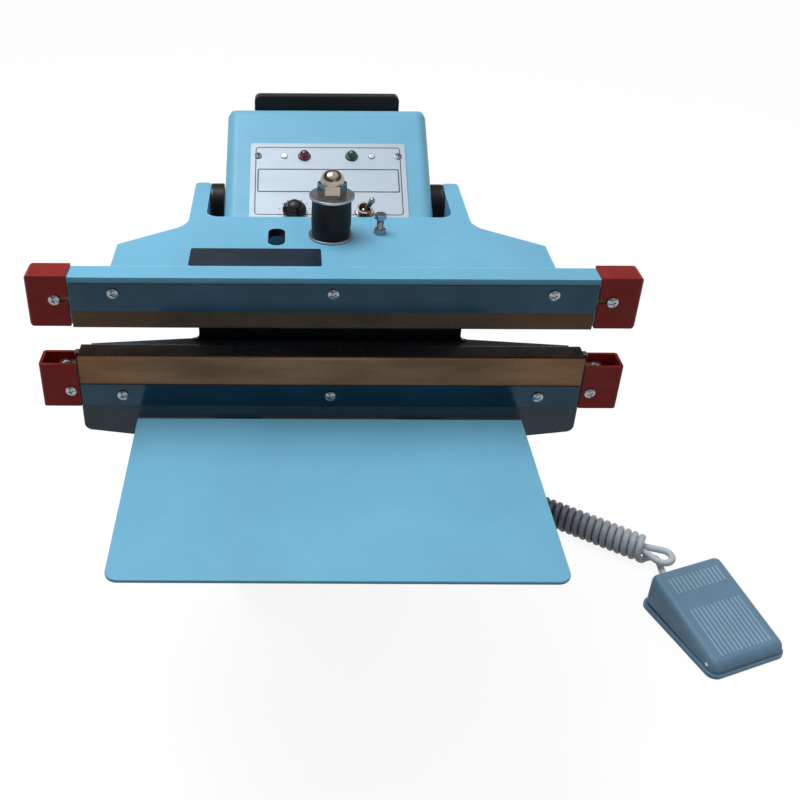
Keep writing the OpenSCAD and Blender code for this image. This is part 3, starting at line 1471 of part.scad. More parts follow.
// A gland with its tapered strain relief, standing on the origin
module gland(l) {
    hexagon(2 * gland_r, gland_hex_h);
    translate([0, 0, -gland_neck_l]) cylinder(h = gland_neck_l + seam, r = gland_neck_r - fit_gap);
    translate([0, 0, gland_hex_h - seam]) rotate_extrude()
        polygon([[0, 0], [gland_r - gland_wall, 0], [gland_neck_r, gland_cap_h],
            [cord_r + 2 * gland_wall, gland_cap_h + gland_wall],
            [cord_r + gland_wall, l - gland_hex_h + seam], [0, l - gland_hex_h + seam]]);
}

module cord_glands() color([0.15, 0.16, 0.17]) {
    in_frame() {
        translate([cab_w / 2, gland_u, gland_z]) rotate([0, 90, 0]) gland(gland_l);
        translate([mains_gland_x, cab_rear_u, gland_z]) rotate([-90, 0, 0]) difference() {
            gland(gland_l / 2);
            translate([0, 0, gland_wall]) cylinder(h = gland_l, r = cord_r);
        }
    }
    in_pedal() translate([0, pedal_l / 2, relief_z]) rotate([-90, 0, 0]) rotate_extrude()
        polygon([[0, -relief_in], [relief_r, -relief_in], [relief_r, 0], [relief_tip_r, relief_l],
            [0, relief_l]]);
}

module cord_lead() color([0.42, 0.45, 0.48]) in_frame() tube(lead_route, cord_r, 10);

// The hank is one tube, and the gap to itself is measured on points set closely along it
module cord_hank() color([0.42, 0.45, 0.48]) in_frame() {
    path = concat(out_strand, loop_turn, back_strand, wrap_start, wraps, tail);
    echo(str("least gap of the hank to itself, mm: ", least_gap(spaced(path, 2.5), 8)));
    tube(path, cord_r, 6);
}

base_cabinet();
base_plate();
rubber_feet();
lower_jaw_casting();
lower_insulators();
lower_heating_element();
lower_ptfe_cover();
lower_clamp_strips();
pan_screws();
lower_end_caps();
lower_terminals();
upper_arm();
upper_jaw_beam();
upper_silicone_pad();
upper_heating_element();
upper_ptfe_cover();
upper_clamp_strips();
upper_pan_screws();
upper_end_caps();
upper_end_blocks();
upper_terminals();
pull_rod();
buffer_rubber();
buffer_washers();
dome_nut();
limit_screw();
pivot_bushes();
pivot_pins();
hinge_brackets();
frame_bolts();
solenoid_frame();
solenoid_coil();
solenoid_plunger();
clevis_pin();
return_spring();
transformer_core();
transformer_winding();
timer_board();
limit_switch();
limit_button();
console_housing();
control_panel();
power_lamp();
heat_lamp();
timer_knob();
timer_potentiometer();
toggle_switch();
toggle_lever();
rear_cover();
tray();
tray_brackets();
foot_switch_base();
foot_switch_tread();
foot_switch_pin();
foot_switch_spring();
foot_micro_switch();
cord_glands();
cord_lead();
cord_hank();
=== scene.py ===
import bmesh
import bpy
import json
import math
import random
from mathutils import Matrix, Vector


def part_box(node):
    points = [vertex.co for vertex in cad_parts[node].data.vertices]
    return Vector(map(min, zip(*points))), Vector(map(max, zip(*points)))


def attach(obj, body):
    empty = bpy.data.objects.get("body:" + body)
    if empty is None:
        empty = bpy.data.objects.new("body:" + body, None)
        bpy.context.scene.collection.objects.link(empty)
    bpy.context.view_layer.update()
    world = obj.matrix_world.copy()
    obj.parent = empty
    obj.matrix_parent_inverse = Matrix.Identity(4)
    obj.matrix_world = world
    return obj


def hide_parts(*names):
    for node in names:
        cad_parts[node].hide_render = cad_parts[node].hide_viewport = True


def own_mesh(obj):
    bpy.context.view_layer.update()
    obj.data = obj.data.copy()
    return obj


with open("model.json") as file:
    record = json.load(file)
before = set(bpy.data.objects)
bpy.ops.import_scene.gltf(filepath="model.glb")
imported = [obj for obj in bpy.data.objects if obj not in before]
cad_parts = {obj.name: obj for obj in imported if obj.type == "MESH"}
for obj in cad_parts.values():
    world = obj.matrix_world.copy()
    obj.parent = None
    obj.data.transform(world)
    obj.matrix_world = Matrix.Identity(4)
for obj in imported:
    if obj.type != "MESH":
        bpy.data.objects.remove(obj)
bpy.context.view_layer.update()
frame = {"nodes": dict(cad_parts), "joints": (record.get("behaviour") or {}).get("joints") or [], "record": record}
record = frame["record"]
nodes = frame["nodes"]
slotOf = {part["node"]: part["material_slot"] for part in record["subparts"]}
mm = 0.001
mergeReach = 0.01 * mm
print("frame loaded with", len(nodes), "nodes")


# camera at the photograph's place, in metres, degrees and pixels of an 800 pixel frame
photoCamera = {
    "place": (-0.031, -0.808, 0.683),
    "pitchDown": 33.85,
    "turnRight": 0.06,
    "roll": 0.30,
    "focalPixels": 1029,
    "axisPixel": 290,
    "framePixels": 800,
    "sensor": 36,
}


def addCamera(spec):
    bpy.ops.object.camera_add(location=spec["place"])
    camera = bpy.context.object
    turn = Matrix.Rotation(math.radians(-spec["turnRight"]), 4, "Z")
    pitch = Matrix.Rotation(math.radians(90 - spec["pitchDown"]), 4, "X")
    roll = Matrix.Rotation(math.radians(spec["roll"]), 4, "Z")
    camera.rotation_euler = (turn @ pitch @ roll).to_euler()
    camera.data.sensor_width = spec["sensor"]
    camera.data.lens = spec["sensor"] * spec["focalPixels"] / spec["framePixels"]
    camera.data.shift_x = 0.5 - spec["axisPixel"] / spec["framePixels"]
    camera.data.clip_end = 50
    bpy.context.scene.camera = camera


addCamera(photoCamera)
bpy.context.scene.view_settings.view_transform = "Standard"
print("camera set")


# small helpers for working as by hand
def selectNone():
    if bpy.context.object and bpy.context.object.mode != "OBJECT":
        bpy.ops.object.mode_set(mode="OBJECT")
    bpy.ops.object.select_all(action="DESELECT")


def pick(*pieces):
    selectNone()
    for piece in pieces:
        piece.select_set(True)
    bpy.context.view_layer.objects.active = pieces[0]


def startEdit(piece, mode="FACE"):
    pick(piece)
    bpy.ops.object.mode_set(mode="EDIT")
    bpy.ops.mesh.select_mode(type=mode)
    bpy.ops.mesh.select_all(action="DESELECT")
    return bmesh.from_edit_mesh(piece.data)


def endEdit():
    bpy.ops.object.mode_set(mode="OBJECT")


def choose(piece, items, test):
    for item in items:
        item.select_set(test(item))
    bmesh.update_edit_mesh(piece.data)


def applyPlace(piece):
    pick(piece)
    bpy.ops.object.transform_apply(location=True, rotation=True, scale=True)


def applyModifier(piece, kind, **settings):
    pick(piece)
    modifier = piece.modifiers.new(kind.lower(), kind)
    for key, value in settings.items():
        setattr(modifier, key, value)
    bpy.ops.object.modifier_apply(modifier=modifier.name)


def smoothShade(piece, degrees=40):
    pick(piece)
    bpy.ops.object.shade_smooth_by_angle(angle=math.radians(degrees))
    applyModifier(piece, "WEIGHTED_NORMAL", keep_sharp=True)


def joinPieces(pieces):
    pick(*pieces)
    bpy.ops.object.join()
    return bpy.context.object


def addBox(size, place):
    selectNone()
    bpy.ops.mesh.primitive_cube_add(size=1)
    piece = bpy.context.object
    piece.scale = Vector(size) * mm
    piece.location = Vector(place) * mm
    applyPlace(piece)
    return piece


def spinProfile(profile, centre, turns):
    selectNone()
    bpy.ops.mesh.primitive_plane_add(size=mm)
    piece = bpy.context.object
    startEdit(piece, "VERT")
    bpy.ops.mesh.select_all(action="SELECT")
    bpy.ops.mesh.delete(type="VERT")
    mesh = bmesh.from_edit_mesh(piece.data)
    corners = [mesh.verts.new((centre.x + radius, centre.y, rise)) for radius, rise in profile]
    for first, second in zip(corners, corners[1:] + corners[:1]):
        mesh.edges.new((first, second))
    bmesh.update_edit_mesh(piece.data)
    bpy.ops.mesh.select_all(action="SELECT")
    bpy.ops.mesh.spin(steps=turns, angle=2 * math.pi, center=centre, axis=(0, 0, 1))
    bpy.ops.mesh.select_all(action="SELECT")
    bpy.ops.mesh.remove_doubles(threshold=mergeReach)
    bpy.ops.mesh.normals_make_consistent(inside=False)
    endEdit()
    return piece


def cutAway(piece, cutter, **settings):
    applyModifier(piece, "BOOLEAN", object=cutter, operation="DIFFERENCE", solver="EXACT", **settings)
    bpy.data.objects.remove(cutter)


def finishPiece(piece, name, slot, body, replaced=()):
    piece.name = name
    piece.data.name = name
    piece.data.materials.clear()
    piece.data.materials.append(finishes[slot])
    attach(piece, body)
    if replaced:
        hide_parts(*replaced)
    return piece


def bodyOf(node):
    return next(body for body, members in record["behaviour"]["bodies"].items() if node in members)


def nodePoints(node):
    return [vertex.co.copy() for vertex in nodes[node].data.vertices]


flatAngle = 0.6  # degrees under which a solid's triangles are one face


def mergedCopy(node):
    mesh = nodes[node].data.copy()
    piece = bpy.data.objects.new(node + "Copy", mesh)
    bpy.context.collection.objects.link(piece)
    startEdit(piece)
    bpy.ops.mesh.select_all(action="SELECT")
    bpy.ops.mesh.remove_doubles(threshold=mergeReach / 2)
    bpy.ops.mesh.dissolve_limited(angle_limit=math.radians(flatAngle))
    endEdit()
    return piece


def islands(piece):
    mesh = bmesh.new()
    mesh.from_mesh(piece.data)
    seen = set()
    groups = []
    for start in mesh.verts:
        if start in seen:
            continue
        seen.add(start)
        group, queue = [], [start]
        while queue:
            vertex = queue.pop()
            group.append(vertex.co.copy())
            for edge in vertex.link_edges:
                other = edge.other_vert(vertex)
                if other not in seen:
                    seen.add(other)
                    queue.append(other)
        groups.append(group)
    mesh.free()
    return groups


# finishes, each from noise and waves on Object coordinates
def tone(red, green, blue):
    def linear(value):
        value = value / 255
        return value / 12.92 if value <= 0.04045 else ((value + 0.055) / 1.055) ** 2.4
    return (linear(red), linear(green), linear(blue), 1)


def startFinish(name):
    finish = bpy.data.materials.new(name)
    finish.use_nodes = True
    tree = finish.node_tree
    place = tree.nodes.new("ShaderNodeTexCoord").outputs["Object"]
    return finish, tree, tree.nodes["Principled BSDF"], place


def stretch(tree, place, scale):
    mapping = tree.nodes.new("ShaderNodeMapping")
    mapping.inputs["Scale"].default_value = scale
    tree.links.new(place, mapping.inputs["Vector"])
    return mapping.outputs["Vector"]


def cloud(tree, place, scale, detail=3):
    noise = tree.nodes.new("ShaderNodeTexNoise")
    noise.inputs["Scale"].default_value = scale
    noise.inputs["Detail"].default_value = detail
    tree.links.new(place, noise.inputs["Vector"])
    return noise.outputs["Fac"]


def bands(tree, place, scale, direction, distortion):
    wave = tree.nodes.new("ShaderNodeTexWave")
    wave.bands_direction = direction
    wave.inputs["Scale"].default_value = scale
    wave.inputs["Distortion"].default_value = distortion
    tree.links.new(place, wave.inputs["Vector"])
    return wave.outputs["Fac"]


def along(tree, place, axis):
    split = tree.nodes.new("ShaderNodeSeparateXYZ")
    tree.links.new(place, split.inputs["Vector"])
    return split.outputs[axis]


def remap(tree, value, low, high, fromLow=0.35, fromHigh=0.65):
    node = tree.nodes.new("ShaderNodeMapRange")
    node.inputs["From Min"].default_value = fromLow
    node.inputs["From Max"].default_value = fromHigh
    node.inputs["To Min"].default_value = low
    node.inputs["To Max"].default_value = high
    tree.links.new(value, node.inputs["Value"])
    return node.outputs["Result"]


def combine(tree, first, second, operation="ADD"):
    node = tree.nodes.new("ShaderNodeMath")
    node.operation = operation
    tree.links.new(first, node.inputs[0])
    tree.links.new(second, node.inputs[1])
    return node.outputs["Value"]


def mixTones(tree, factor, first, second):
    node = tree.nodes.new("ShaderNodeMix")
    node.data_type = "RGBA"
    tree.links.new(factor, node.inputs["Factor"])
    for name, value in (("A", first), ("B", second)):
        if isinstance(value, tuple):
            node.inputs[name].default_value = value
        else:
            tree.links.new(value, node.inputs[name])
    return node.outputs["Result"]


def shade(color, amount):
    return tuple(min(1, part * amount) for part in color[:3]) + (1,)


def relief(tree, shader, height, strength, distance):
    bump = tree.nodes.new("ShaderNodeBump")
    bump.inputs["Strength"].default_value = strength
    bump.inputs["Distance"].default_value = distance
    tree.links.new(height, bump.inputs["Height"])
    tree.links.new(bump.outputs["Normal"], shader.inputs["Normal"])


wearAndHighlightLook = {"samples": 6, "flat": 0.995, "sharp": 0.9, "patches": 130, "least": 0.25}


# lighter along edges: partly wear of the finish, partly painted highlight
def edgeWearAndHighlight(tree, place, reach, amount):
    soft = tree.nodes.new("ShaderNodeBevel")
    soft.samples = wearAndHighlightLook["samples"]
    soft.inputs["Radius"].default_value = reach
    facing = tree.nodes.new("ShaderNodeVectorMath")
    facing.operation = "DOT_PRODUCT"
    tree.links.new(soft.outputs["Normal"], facing.inputs[0])
    tree.links.new(tree.nodes.new("ShaderNodeNewGeometry").outputs["Normal"], facing.inputs[1])
    edge = remap(tree, facing.outputs["Value"], 0, amount, wearAndHighlightLook["flat"], wearAndHighlightLook["sharp"])
    patches = remap(tree, cloud(tree, place, wearAndHighlightLook["patches"], 5), wearAndHighlightLook["least"], 1)
    return combine(tree, edge, patches, "MULTIPLY")


def enamel(name, color, roughness=0.34, mottle=0.05, sheen=0.5):
    finish, tree, shader, place = startFinish(name)
    drift = remap(tree, cloud(tree, place, 11, 4), 0, 1)
    base = mixTones(tree, drift, shade(color, 1 - mottle), shade(color, 1 + mottle))
    # lighter edges: partly wear, partly painted highlight
    base = mixTones(tree, edgeWearAndHighlight(tree, place, 0.0016, 0.55), base, shade(color, 1.7))
    tree.links.new(base, shader.inputs["Base Color"])
    gloss = remap(tree, cloud(tree, place, 70, 3), roughness - 0.05, roughness + 0.07)
    tree.links.new(gloss, shader.inputs["Roughness"])
    relief(tree, shader, cloud(tree, place, 900, 2), 0.06, 0.0004)  # orange peel of sprayed paint
    shader.inputs["Specular IOR Level"].default_value = sheen
    shader.inputs["Coat Weight"].default_value = 0.2 * sheen
    shader.inputs["Coat Roughness"].default_value = 0.2
    return finish


def plating(name, color, roughness, streak=(1, 1, 1), grain=500, strength=0.03):
    finish, tree, shader, place = startFinish(name)
    shader.inputs["Metallic"].default_value = 1
    lines = cloud(tree, stretch(tree, place, streak), grain, 3)
    cast = remap(tree, cloud(tree, place, 30, 3), 0, 1)
    base = mixTones(tree, cast, shade(color, 0.9), shade(color, 1.06))
    tree.links.new(base, shader.inputs["Base Color"])
    tree.links.new(remap(tree, lines, roughness * 0.75, roughness * 1.35), shader.inputs["Roughness"])
    relief(tree, shader, lines, strength, 0.0002)
    return finish


def moulding(name, color, roughness=0.42, grain=1500, strength=0.12, mottle=0.06, sheen=0.5, paintedShadow=None):
    finish, tree, shader, place = startFinish(name)
    drift = remap(tree, cloud(tree, place, 25, 4), 0, 1)
    base = mixTones(tree, drift, shade(color, 1 - mottle), shade(color, 1 + mottle))
    # lighter edges: partly wear, partly painted highlight
    base = mixTones(tree, edgeWearAndHighlight(tree, place, 0.001, 0.5), base, shade(color, 1.6))
    if paintedShadow:  # painted shadow: darker towards one end, where the machine's shadow falls
        base = mixTones(tree, remap(tree, along(tree, place, "X"), 0, 1, *paintedShadow["x"]), paintedShadow["dark"], base)
    tree.links.new(base, shader.inputs["Base Color"])
    gloss = remap(tree, cloud(tree, place, 120, 3), roughness - 0.06, roughness + 0.08)
    tree.links.new(gloss, shader.inputs["Roughness"])
    relief(tree, shader, cloud(tree, place, grain, 2), strength, 0.0003)
    shader.inputs["Specular IOR Level"].default_value = sheen
    return finish


def glassCloth(name, color, dark, darkTop=None):
    finish, tree, shader, place = startFinish(name)
    warp = bands(tree, place, 320, "X", 0.4)
    weft = bands(tree, place, 320, "DIAGONAL", 0.4)
    weave = combine(tree, warp, weft, "MULTIPLY")
    stain = remap(tree, cloud(tree, stretch(tree, place, (1, 6, 6)), 14, 4), 0, 1)
    base = mixTones(tree, stain, dark, color)
    if darkTop:  # darker across the top face, above the given heights
        base = mixTones(tree, remap(tree, along(tree, place, "Z"), 0, 1, *darkTop), base, shade(dark, 0.06))
    tree.links.new(base, shader.inputs["Base Color"])
    gloss = remap(tree, cloud(tree, place, 60, 3), 0.24, 0.38)
    tree.links.new(gloss, shader.inputs["Roughness"])
    relief(tree, shader, weave, 0.12, 0.0002)
    shader.inputs["Specular IOR Level"].default_value = 0.45
    shader.inputs["Specular Tint"].default_value = (0.9, 0.6, 0.42, 1)
    return finish


def lensFinish(name, color):
    finish, tree, shader, place = startFinish(name)
    ring = cloud(tree, place, 260, 2)
    tree.links.new(mixTones(tree, ring, shade(color, 0.6), shade(color, 1.5)), shader.inputs["Base Color"])
    shader.inputs["Roughness"].default_value = 0.12
    shader.inputs["Coat Weight"].default_value = 0.5
    shader.inputs["Coat Roughness"].default_value = 0.05
    relief(tree, shader, cloud(tree, place, 700, 1), 0.2, 0.0004)
    return finish


def brushedPanel(name, color):
    finish, tree, shader, place = startFinish(name)
    grain = cloud(tree, stretch(tree, place, (6, 300, 300)), 4, 4)
    drift = remap(tree, cloud(tree, place, 14, 3), 0, 1)
    base = mixTones(tree, drift, shade(color, 0.94), shade(color, 1.04))
    tree.links.new(base, shader.inputs["Base Color"])
    shader.inputs["Metallic"].default_value = 0.15
    tree.links.new(remap(tree, grain, 0.34, 0.5), shader.inputs["Roughness"])
    relief(tree, shader, grain, 0.05, 0.0002)
    return finish


def woundFinish(name, color, dark):
    finish, tree, shader, place = startFinish(name)
    turns = bands(tree, place, 420, "Z", 0.3)
    tree.links.new(mixTones(tree, turns, dark, color), shader.inputs["Base Color"])
    tree.links.new(remap(tree, cloud(tree, place, 80, 3), 0.3, 0.5), shader.inputs["Roughness"])
    shader.inputs["Metallic"].default_value = 0.5
    relief(tree, shader, turns, 0.4, 0.0006)
    return finish


finishes = {
    "blue_paint": enamel("lightBlueEnamel", tone(118, 185, 217), 0.34, 0.05, 0.22),
    # the blue paint darkened to its look in the shade under the jaws: painted shade
    "shaded_blue_paint": enamel("slateEnamel", tone(50, 66, 76), 0.4, 0.06, 0.3),
    "dark_steel": enamel("greyUndercoat", tone(78, 82, 86), 0.5),
    "black_rubber": moulding("blackRubber", tone(13, 16, 20), 0.5, 700, 0.2, 0.15, 0.25),
    "phenolic": moulding("brownLaminate", tone(150, 116, 74), 0.5, 300, 0.2, 0.15),
    "ribbon_alloy": plating("heatingAlloy", tone(176, 172, 166), 0.28, (1, 40, 40), 60),
    "ptfe_cloth": glassCloth("brownGlassCloth", tone(174, 129, 93), tone(138, 98, 67), (0.2863, 0.2872)),
    "polished_strip": plating("darkPolishedStrip", tone(43, 61, 73), 0.13, (1, 60, 60), 30, 0.02),
    "bright_screw": plating("brightZinc", tone(156, 160, 164), 0.26),
    "red_plastic": moulding("redBrownPlastic", tone(138, 30, 24), 0.36, 900, 0.06, 0.08, 0.2),
    "brass": plating("machinedBrass", tone(206, 164, 92), 0.26),
    "silicone": moulding("redSilicone", tone(176, 92, 70), 0.55),
    "turned_steel": plating("turnedSteel", tone(184, 188, 192), 0.24, (1, 1, 30), 40),
    "zinc_plate": plating("greyZinc", tone(172, 178, 184), 0.3, (1, 1, 1), 1400, 0.03),
    "nickel": plating("brightNickel", tone(166, 154, 144), 0.1),
    "black_paint": enamel("blackPowderCoat", tone(15, 16, 19), 0.4, 0.12, 0.2),
    "lamination": plating("varnishedSteel", tone(108, 110, 114), 0.4, (1, 1, 60), 40, 0.1),
    "copper_winding": woundFinish("copperWinding", tone(190, 104, 56), tone(96, 44, 22)),
    "spring_steel": plating("springWire", tone(150, 154, 160), 0.3),
    "circuit_board": moulding("greenBoard", tone(30, 92, 52), 0.4, 400, 0.1, 0.2),
    "black_plastic": moulding("blackPlastic", tone(22, 23, 26), 0.3, 900, 0.08, 0.1, 0.4),
    "button_red": moulding("redButton", tone(190, 52, 40), 0.4),
    "silver_panel": brushedPanel("silverPanel", tone(180, 194, 207)),
    "green_lens": lensFinish("greenLens", tone(14, 74, 44)),
    "red_lens": lensFinish("redLens", tone(96, 8, 22)),
    "switch_metal": plating("switchNickel", tone(158, 156, 148), 0.2),
    "slate_plastic": moulding("slatePlastic", tone(110, 148, 176), 0.46, 1300, 0.1, 0.05),
    # the sheath's darker end towards the machine is a painted shadow
    "grey_cord": moulding("greySheath", tone(205, 215, 223), 0.4, 600, 0.08, 0.1, 0.5,
                          {"x": (0.225, 0.315), "dark": tone(44, 49, 56)}),
}
# darker copy of the glass cloth for the upper jaw: painted shade under the arm
finishes["scorched_cloth"] = glassCloth("scorchedGlassCloth", tone(86, 64, 46), tone(60, 44, 31))
print("finishes made:", len(finishes))


# the foot switch's cord, in millimetres: depth is measured back from the jaws, as in the part's source
originDepth = 163
footCord = {
    "diameter": 6.5,
    "gap": 0.5,  # between one wrap and the next
    "turns": 17,
    "wrapSteps": 24,  # route points in one turn
    "run": 30,  # straight strand before the wraps
    "end": (315, 95),  # x and depth of the hank's far end
    "along": (0.826, -0.5637),
    "across": (0.5637, 0.826),
    "play": 0.1,  # above the floor
    "runIn": [(-14, -3), (-4, 0)],
    "strandStep": 20,
    "loop": 9,
    "loopOut": 13,
    "lead": [(108, 205, 40), (118, 205, 40), (130, 204.5, 36), (140, 203, 27), (148, 201, 17),
             (156, 199, 10), (166, 196, 7)],
    "wrapStart": [(-5, -3.9, 0), (-12, -3.9, -1), (-17.2, -3, -4.2), (-19, 0.6, -7.4), (-16.5, 5.2, -8.8),
                  (-10.5, 9.2, -6.4)],
    "wrapBack": 6,
    "wrapAngle": 255,
    "firstSteps": (8, 10, 12),  # fewer points where the wraps begin and end, for an easy turn
    "lastSteps": (12, 10, 7, 4),
    "tailTurn": [(-4, -4.5, -9.6), (-1, 2.2, -10.5), (3.6, 5.8, -10.5), (9, 4.6, -10.5), (13, -0.5, -10.5),
                 (16.5, -7, -9.8)],
    "pedal": (348, 8),
    "pedalTurn": 21,
    "reliefEnd": 60,
    "reliefHeight": 6.2,
    "realLength": 1.632,
}


def cordRoute(spec):
    step = spec["diameter"] + spec["gap"]
    wrap = 1.5 * step
    height = wrap + spec["diameter"] / 2 + spec["play"]
    length = spec["turns"] * step

    def hank(reach, across, rise):
        x, depth = (end + (reach - length) * ahead + across * aside
                    for end, ahead, aside in zip(spec["end"], spec["along"], spec["across"]))
        return (x, depth, height + rise)

    def wrapped(reach, degrees):
        angle = math.radians(degrees)
        return hank(reach, wrap * math.cos(angle), wrap * math.sin(angle))

    def atPedal(back):
        turn = math.radians(spec["pedalTurn"])
        return (spec["pedal"][0] - back * math.sin(turn), spec["pedal"][1] + back * math.cos(turn),
                spec["reliefHeight"])

    route = list(spec["lead"])
    route += [hank(reach - spec["run"], step / 2, rise) for reach, rise in spec["runIn"]]
    route += [hank(reach, step / 2, 0) for reach in range(-spec["run"], int(length), spec["strandStep"])]
    for degrees in range(-20, 201, 20):
        angle = math.radians(degrees)
        route.append(hank(length + spec["loopOut"] + spec["loop"] * math.sin(angle),
                          spec["loop"] * math.cos(angle), 0))
    route += [hank(reach, -step / 2, 0) for reach in range(int(length) - 4, 5, -spec["strandStep"])]
    route += [hank(*place) for place in spec["wrapStart"]]
    last = spec["wrapSteps"] * spec["turns"]
    steps = [*spec["firstSteps"], *range(spec["firstSteps"][-1] + 1, last - spec["lastSteps"][0])]
    for index in steps + [last - early for early in spec["lastSteps"]]:
        share = index / spec["wrapSteps"]
        route.append(wrapped(share * step - spec["wrapBack"], spec["wrapAngle"] + 360 * share))
    route += [hank(length + reach, across, rise) for reach, across, rise in spec["tailTurn"]]
    route += [atPedal(spec["reliefEnd"] + spec["diameter"]), atPedal(spec["reliefEnd"])]
    return [Vector((x, depth - originDepth, z)) * mm for x, depth, z in route]


def layCord(spec):
    route = cordRoute(spec)
    curve = bpy.data.curves.new("footCord", "CURVE")
    curve.dimensions = "3D"
    curve.bevel_depth = spec["diameter"] / 2 * mm
    curve.bevel_resolution = 4
    curve.resolution_u = 3
    curve.use_fill_caps = True
    spline = curve.splines.new("BEZIER")
    spline.bezier_points.add(len(route) - 1)
    for point, place in zip(spline.bezier_points, route):
        point.co = place
        point.handle_left_type = "AUTO"
        point.handle_right_type = "AUTO"
    piece = bpy.data.objects.new("footCord", curve)
    bpy.context.collection.objects.link(piece)
    finishPiece(piece, "footCord", "grey_cord", "base", ("cord_lead", "cord_hank"))
    print("cord laid, about", round(sum((b - a).length for a, b in zip(route, route[1:])), 3), "m")


layCord(footCord)


# floor, world and lamps
stageLook = {
    "floorSize": 9,
    "floorDrop": 0.0004,
    "floorBounce": 0.15,
    "floorGlow": 0.9,
    "skyLow": 0.02,
    "skyHigh": 0.8,
    "skyRise": (0.3, 0.95),
    "seenSky": [(0.2, 1), (0.32, 0.12), (0.6, 0.12), (0.85, 1)],
}
studioLamps = [
    {"name": "overheadPanel", "place": (-0.5, 0.05, 1.75), "aim": (0.05, -0.12, 0.2), "size": 0.9, "power": 15.6},
    {"name": "frontFill", "place": (0.7, -1.9, 1.15), "aim": (0.0, 0.0, 0.25), "size": 1.4, "power": 1.7},
]


def seenRays(tree):
    path = tree.nodes.new("ShaderNodeLightPath")
    seen = combine(tree, path.outputs["Is Camera Ray"], path.outputs["Is Glossy Ray"], "MAXIMUM")
    return combine(tree, seen, path.outputs["Is Transmission Ray"], "MAXIMUM")


def addStage(spec):
    selectNone()
    bpy.ops.mesh.primitive_plane_add(size=spec["floorSize"], location=(0, 0, -spec["floorDrop"]))
    floor = bpy.context.object
    floor.name = "studioFloor"
    finish = bpy.data.materials.new("paleFloor")
    finish.use_nodes = True
    tree = finish.node_tree
    tree.nodes.clear()
    bounce = tree.nodes.new("ShaderNodeBsdfDiffuse")
    bounce.inputs["Color"].default_value = (spec["floorBounce"],) * 3 + (1,)
    glow = tree.nodes.new("ShaderNodeEmission")
    tree.links.new(remap(tree, seenRays(tree), 0, spec["floorGlow"], 0, 1), glow.inputs["Strength"])
    total = tree.nodes.new("ShaderNodeAddShader")
    tree.links.new(bounce.outputs[0], total.inputs[0])
    tree.links.new(glow.outputs[0], total.inputs[1])
    output = tree.nodes.new("ShaderNodeOutputMaterial")
    tree.links.new(total.outputs[0], output.inputs["Surface"])
    floor.data.materials.append(finish)
    world = bpy.data.worlds.new("studioWorld")
    world.use_nodes = True
    tree = world.node_tree
    sky = tree.nodes["Background"]
    rise = along(tree, tree.nodes.new("ShaderNodeTexCoord").outputs["Object"], "Z")
    lit = remap(tree, rise, spec["skyLow"], spec["skyHigh"], *spec["skyRise"])
    ramp = tree.nodes.new("ShaderNodeValToRGB")  # white horizon, dark gap and bright ceiling for metal to show
    for index, (at, level) in enumerate(spec["seenSky"]):
        stop = ramp.color_ramp.elements[index] if index < 2 else ramp.color_ramp.elements.new(at)
        stop.position = at
        stop.color = (level, level, level, 1)
    tree.links.new(rise, ramp.inputs["Fac"])
    plain = tree.nodes.new("ShaderNodeLightPath").outputs["Is Camera Ray"]  # the backdrop itself stays white
    blend = tree.nodes.new("ShaderNodeMix")
    tree.links.new(seenRays(tree), blend.inputs["Factor"])
    tree.links.new(lit, blend.inputs["A"])
    tree.links.new(combine(tree, ramp.outputs["Color"], plain, "MAXIMUM"), blend.inputs["B"])
    tree.links.new(blend.outputs["Result"], sky.inputs["Strength"])
    sky.inputs["Color"].default_value = (1, 1, 1, 1)
    bpy.context.scene.world = world


def addLamp(spec):
    place = Vector(spec["place"])
    bpy.ops.object.light_add(type="AREA", location=place)
    lamp = bpy.context.object
    lamp.name = spec["name"]
    lamp.data.size = spec["size"]
    lamp.data.energy = spec["power"]
    lamp.rotation_euler = (Vector(spec["aim"]) - place).to_track_quat("-Z", "Y").to_euler()


addStage(stageLook)
for lampSpec in studioLamps:
    addLamp(lampSpec)
print("stage lit")


# machined and pressed pieces: each CAD solid again, with its edges broken by this many millimetres
edgeRounds = {
    "base_cabinet": 1.2, "base_plate": 0.4, "rubber_feet": 0.7, "lower_jaw_casting": 1.4,
    "lower_insulators": 0.3, "lower_clamp_strips": 0.25, "lower_end_caps": 0.7, "lower_terminals": 0.4,
    "upper_arm": 1.3, "upper_jaw_beam": 0.8, "upper_silicone_pad": 0.8, "upper_clamp_strips": 0.25,
    "upper_end_caps": 0.7, "upper_end_blocks": 0.4, "upper_terminals": 0.4,
    "pull_rod": 0.4, "buffer_washers": 0.4, "dome_nut": 0.35,
    "pivot_bushes": 0.3, "pivot_pins": 0.6, "hinge_brackets": 0.8, "frame_bolts": 0.4,
    "solenoid_plunger": 0.5, "clevis_pin": 0.5, "limit_switch": 0.6, "limit_button": 0.3, "limit_screw": 0.3,
    "control_panel": 0.3, "power_lamp": 0.2, "heat_lamp": 0.2, "timer_knob": 0.3,
    "timer_potentiometer": 0.2, "toggle_switch": 0.3, "toggle_lever": 0.1, "rear_cover": 1.4, "tray": 0.9,
    "tray_brackets": 0.8, "foot_switch_base": 1.0, "foot_switch_pin": 0.4, "cord_glands": 0.4,
}
bevelAngle = 32
hair = 0.05 * mm
endRounds = {  # the outer ends of the red caps; the open ones only along their upright corners
    "upper_end_caps": {"radius": 3.2, "uprightOnly": False, "steps": 6},
    "lower_end_caps": {"radius": 2.4, "uprightOnly": True, "steps": 6},
}
waistFillets = {"upper_arm": {"x": 110, "depth": 91, "radius": 10, "steps": 6}}


def camel(node):
    words = node.split("_")
    return words[0] + "".join(word.capitalize() for word in words[1:])


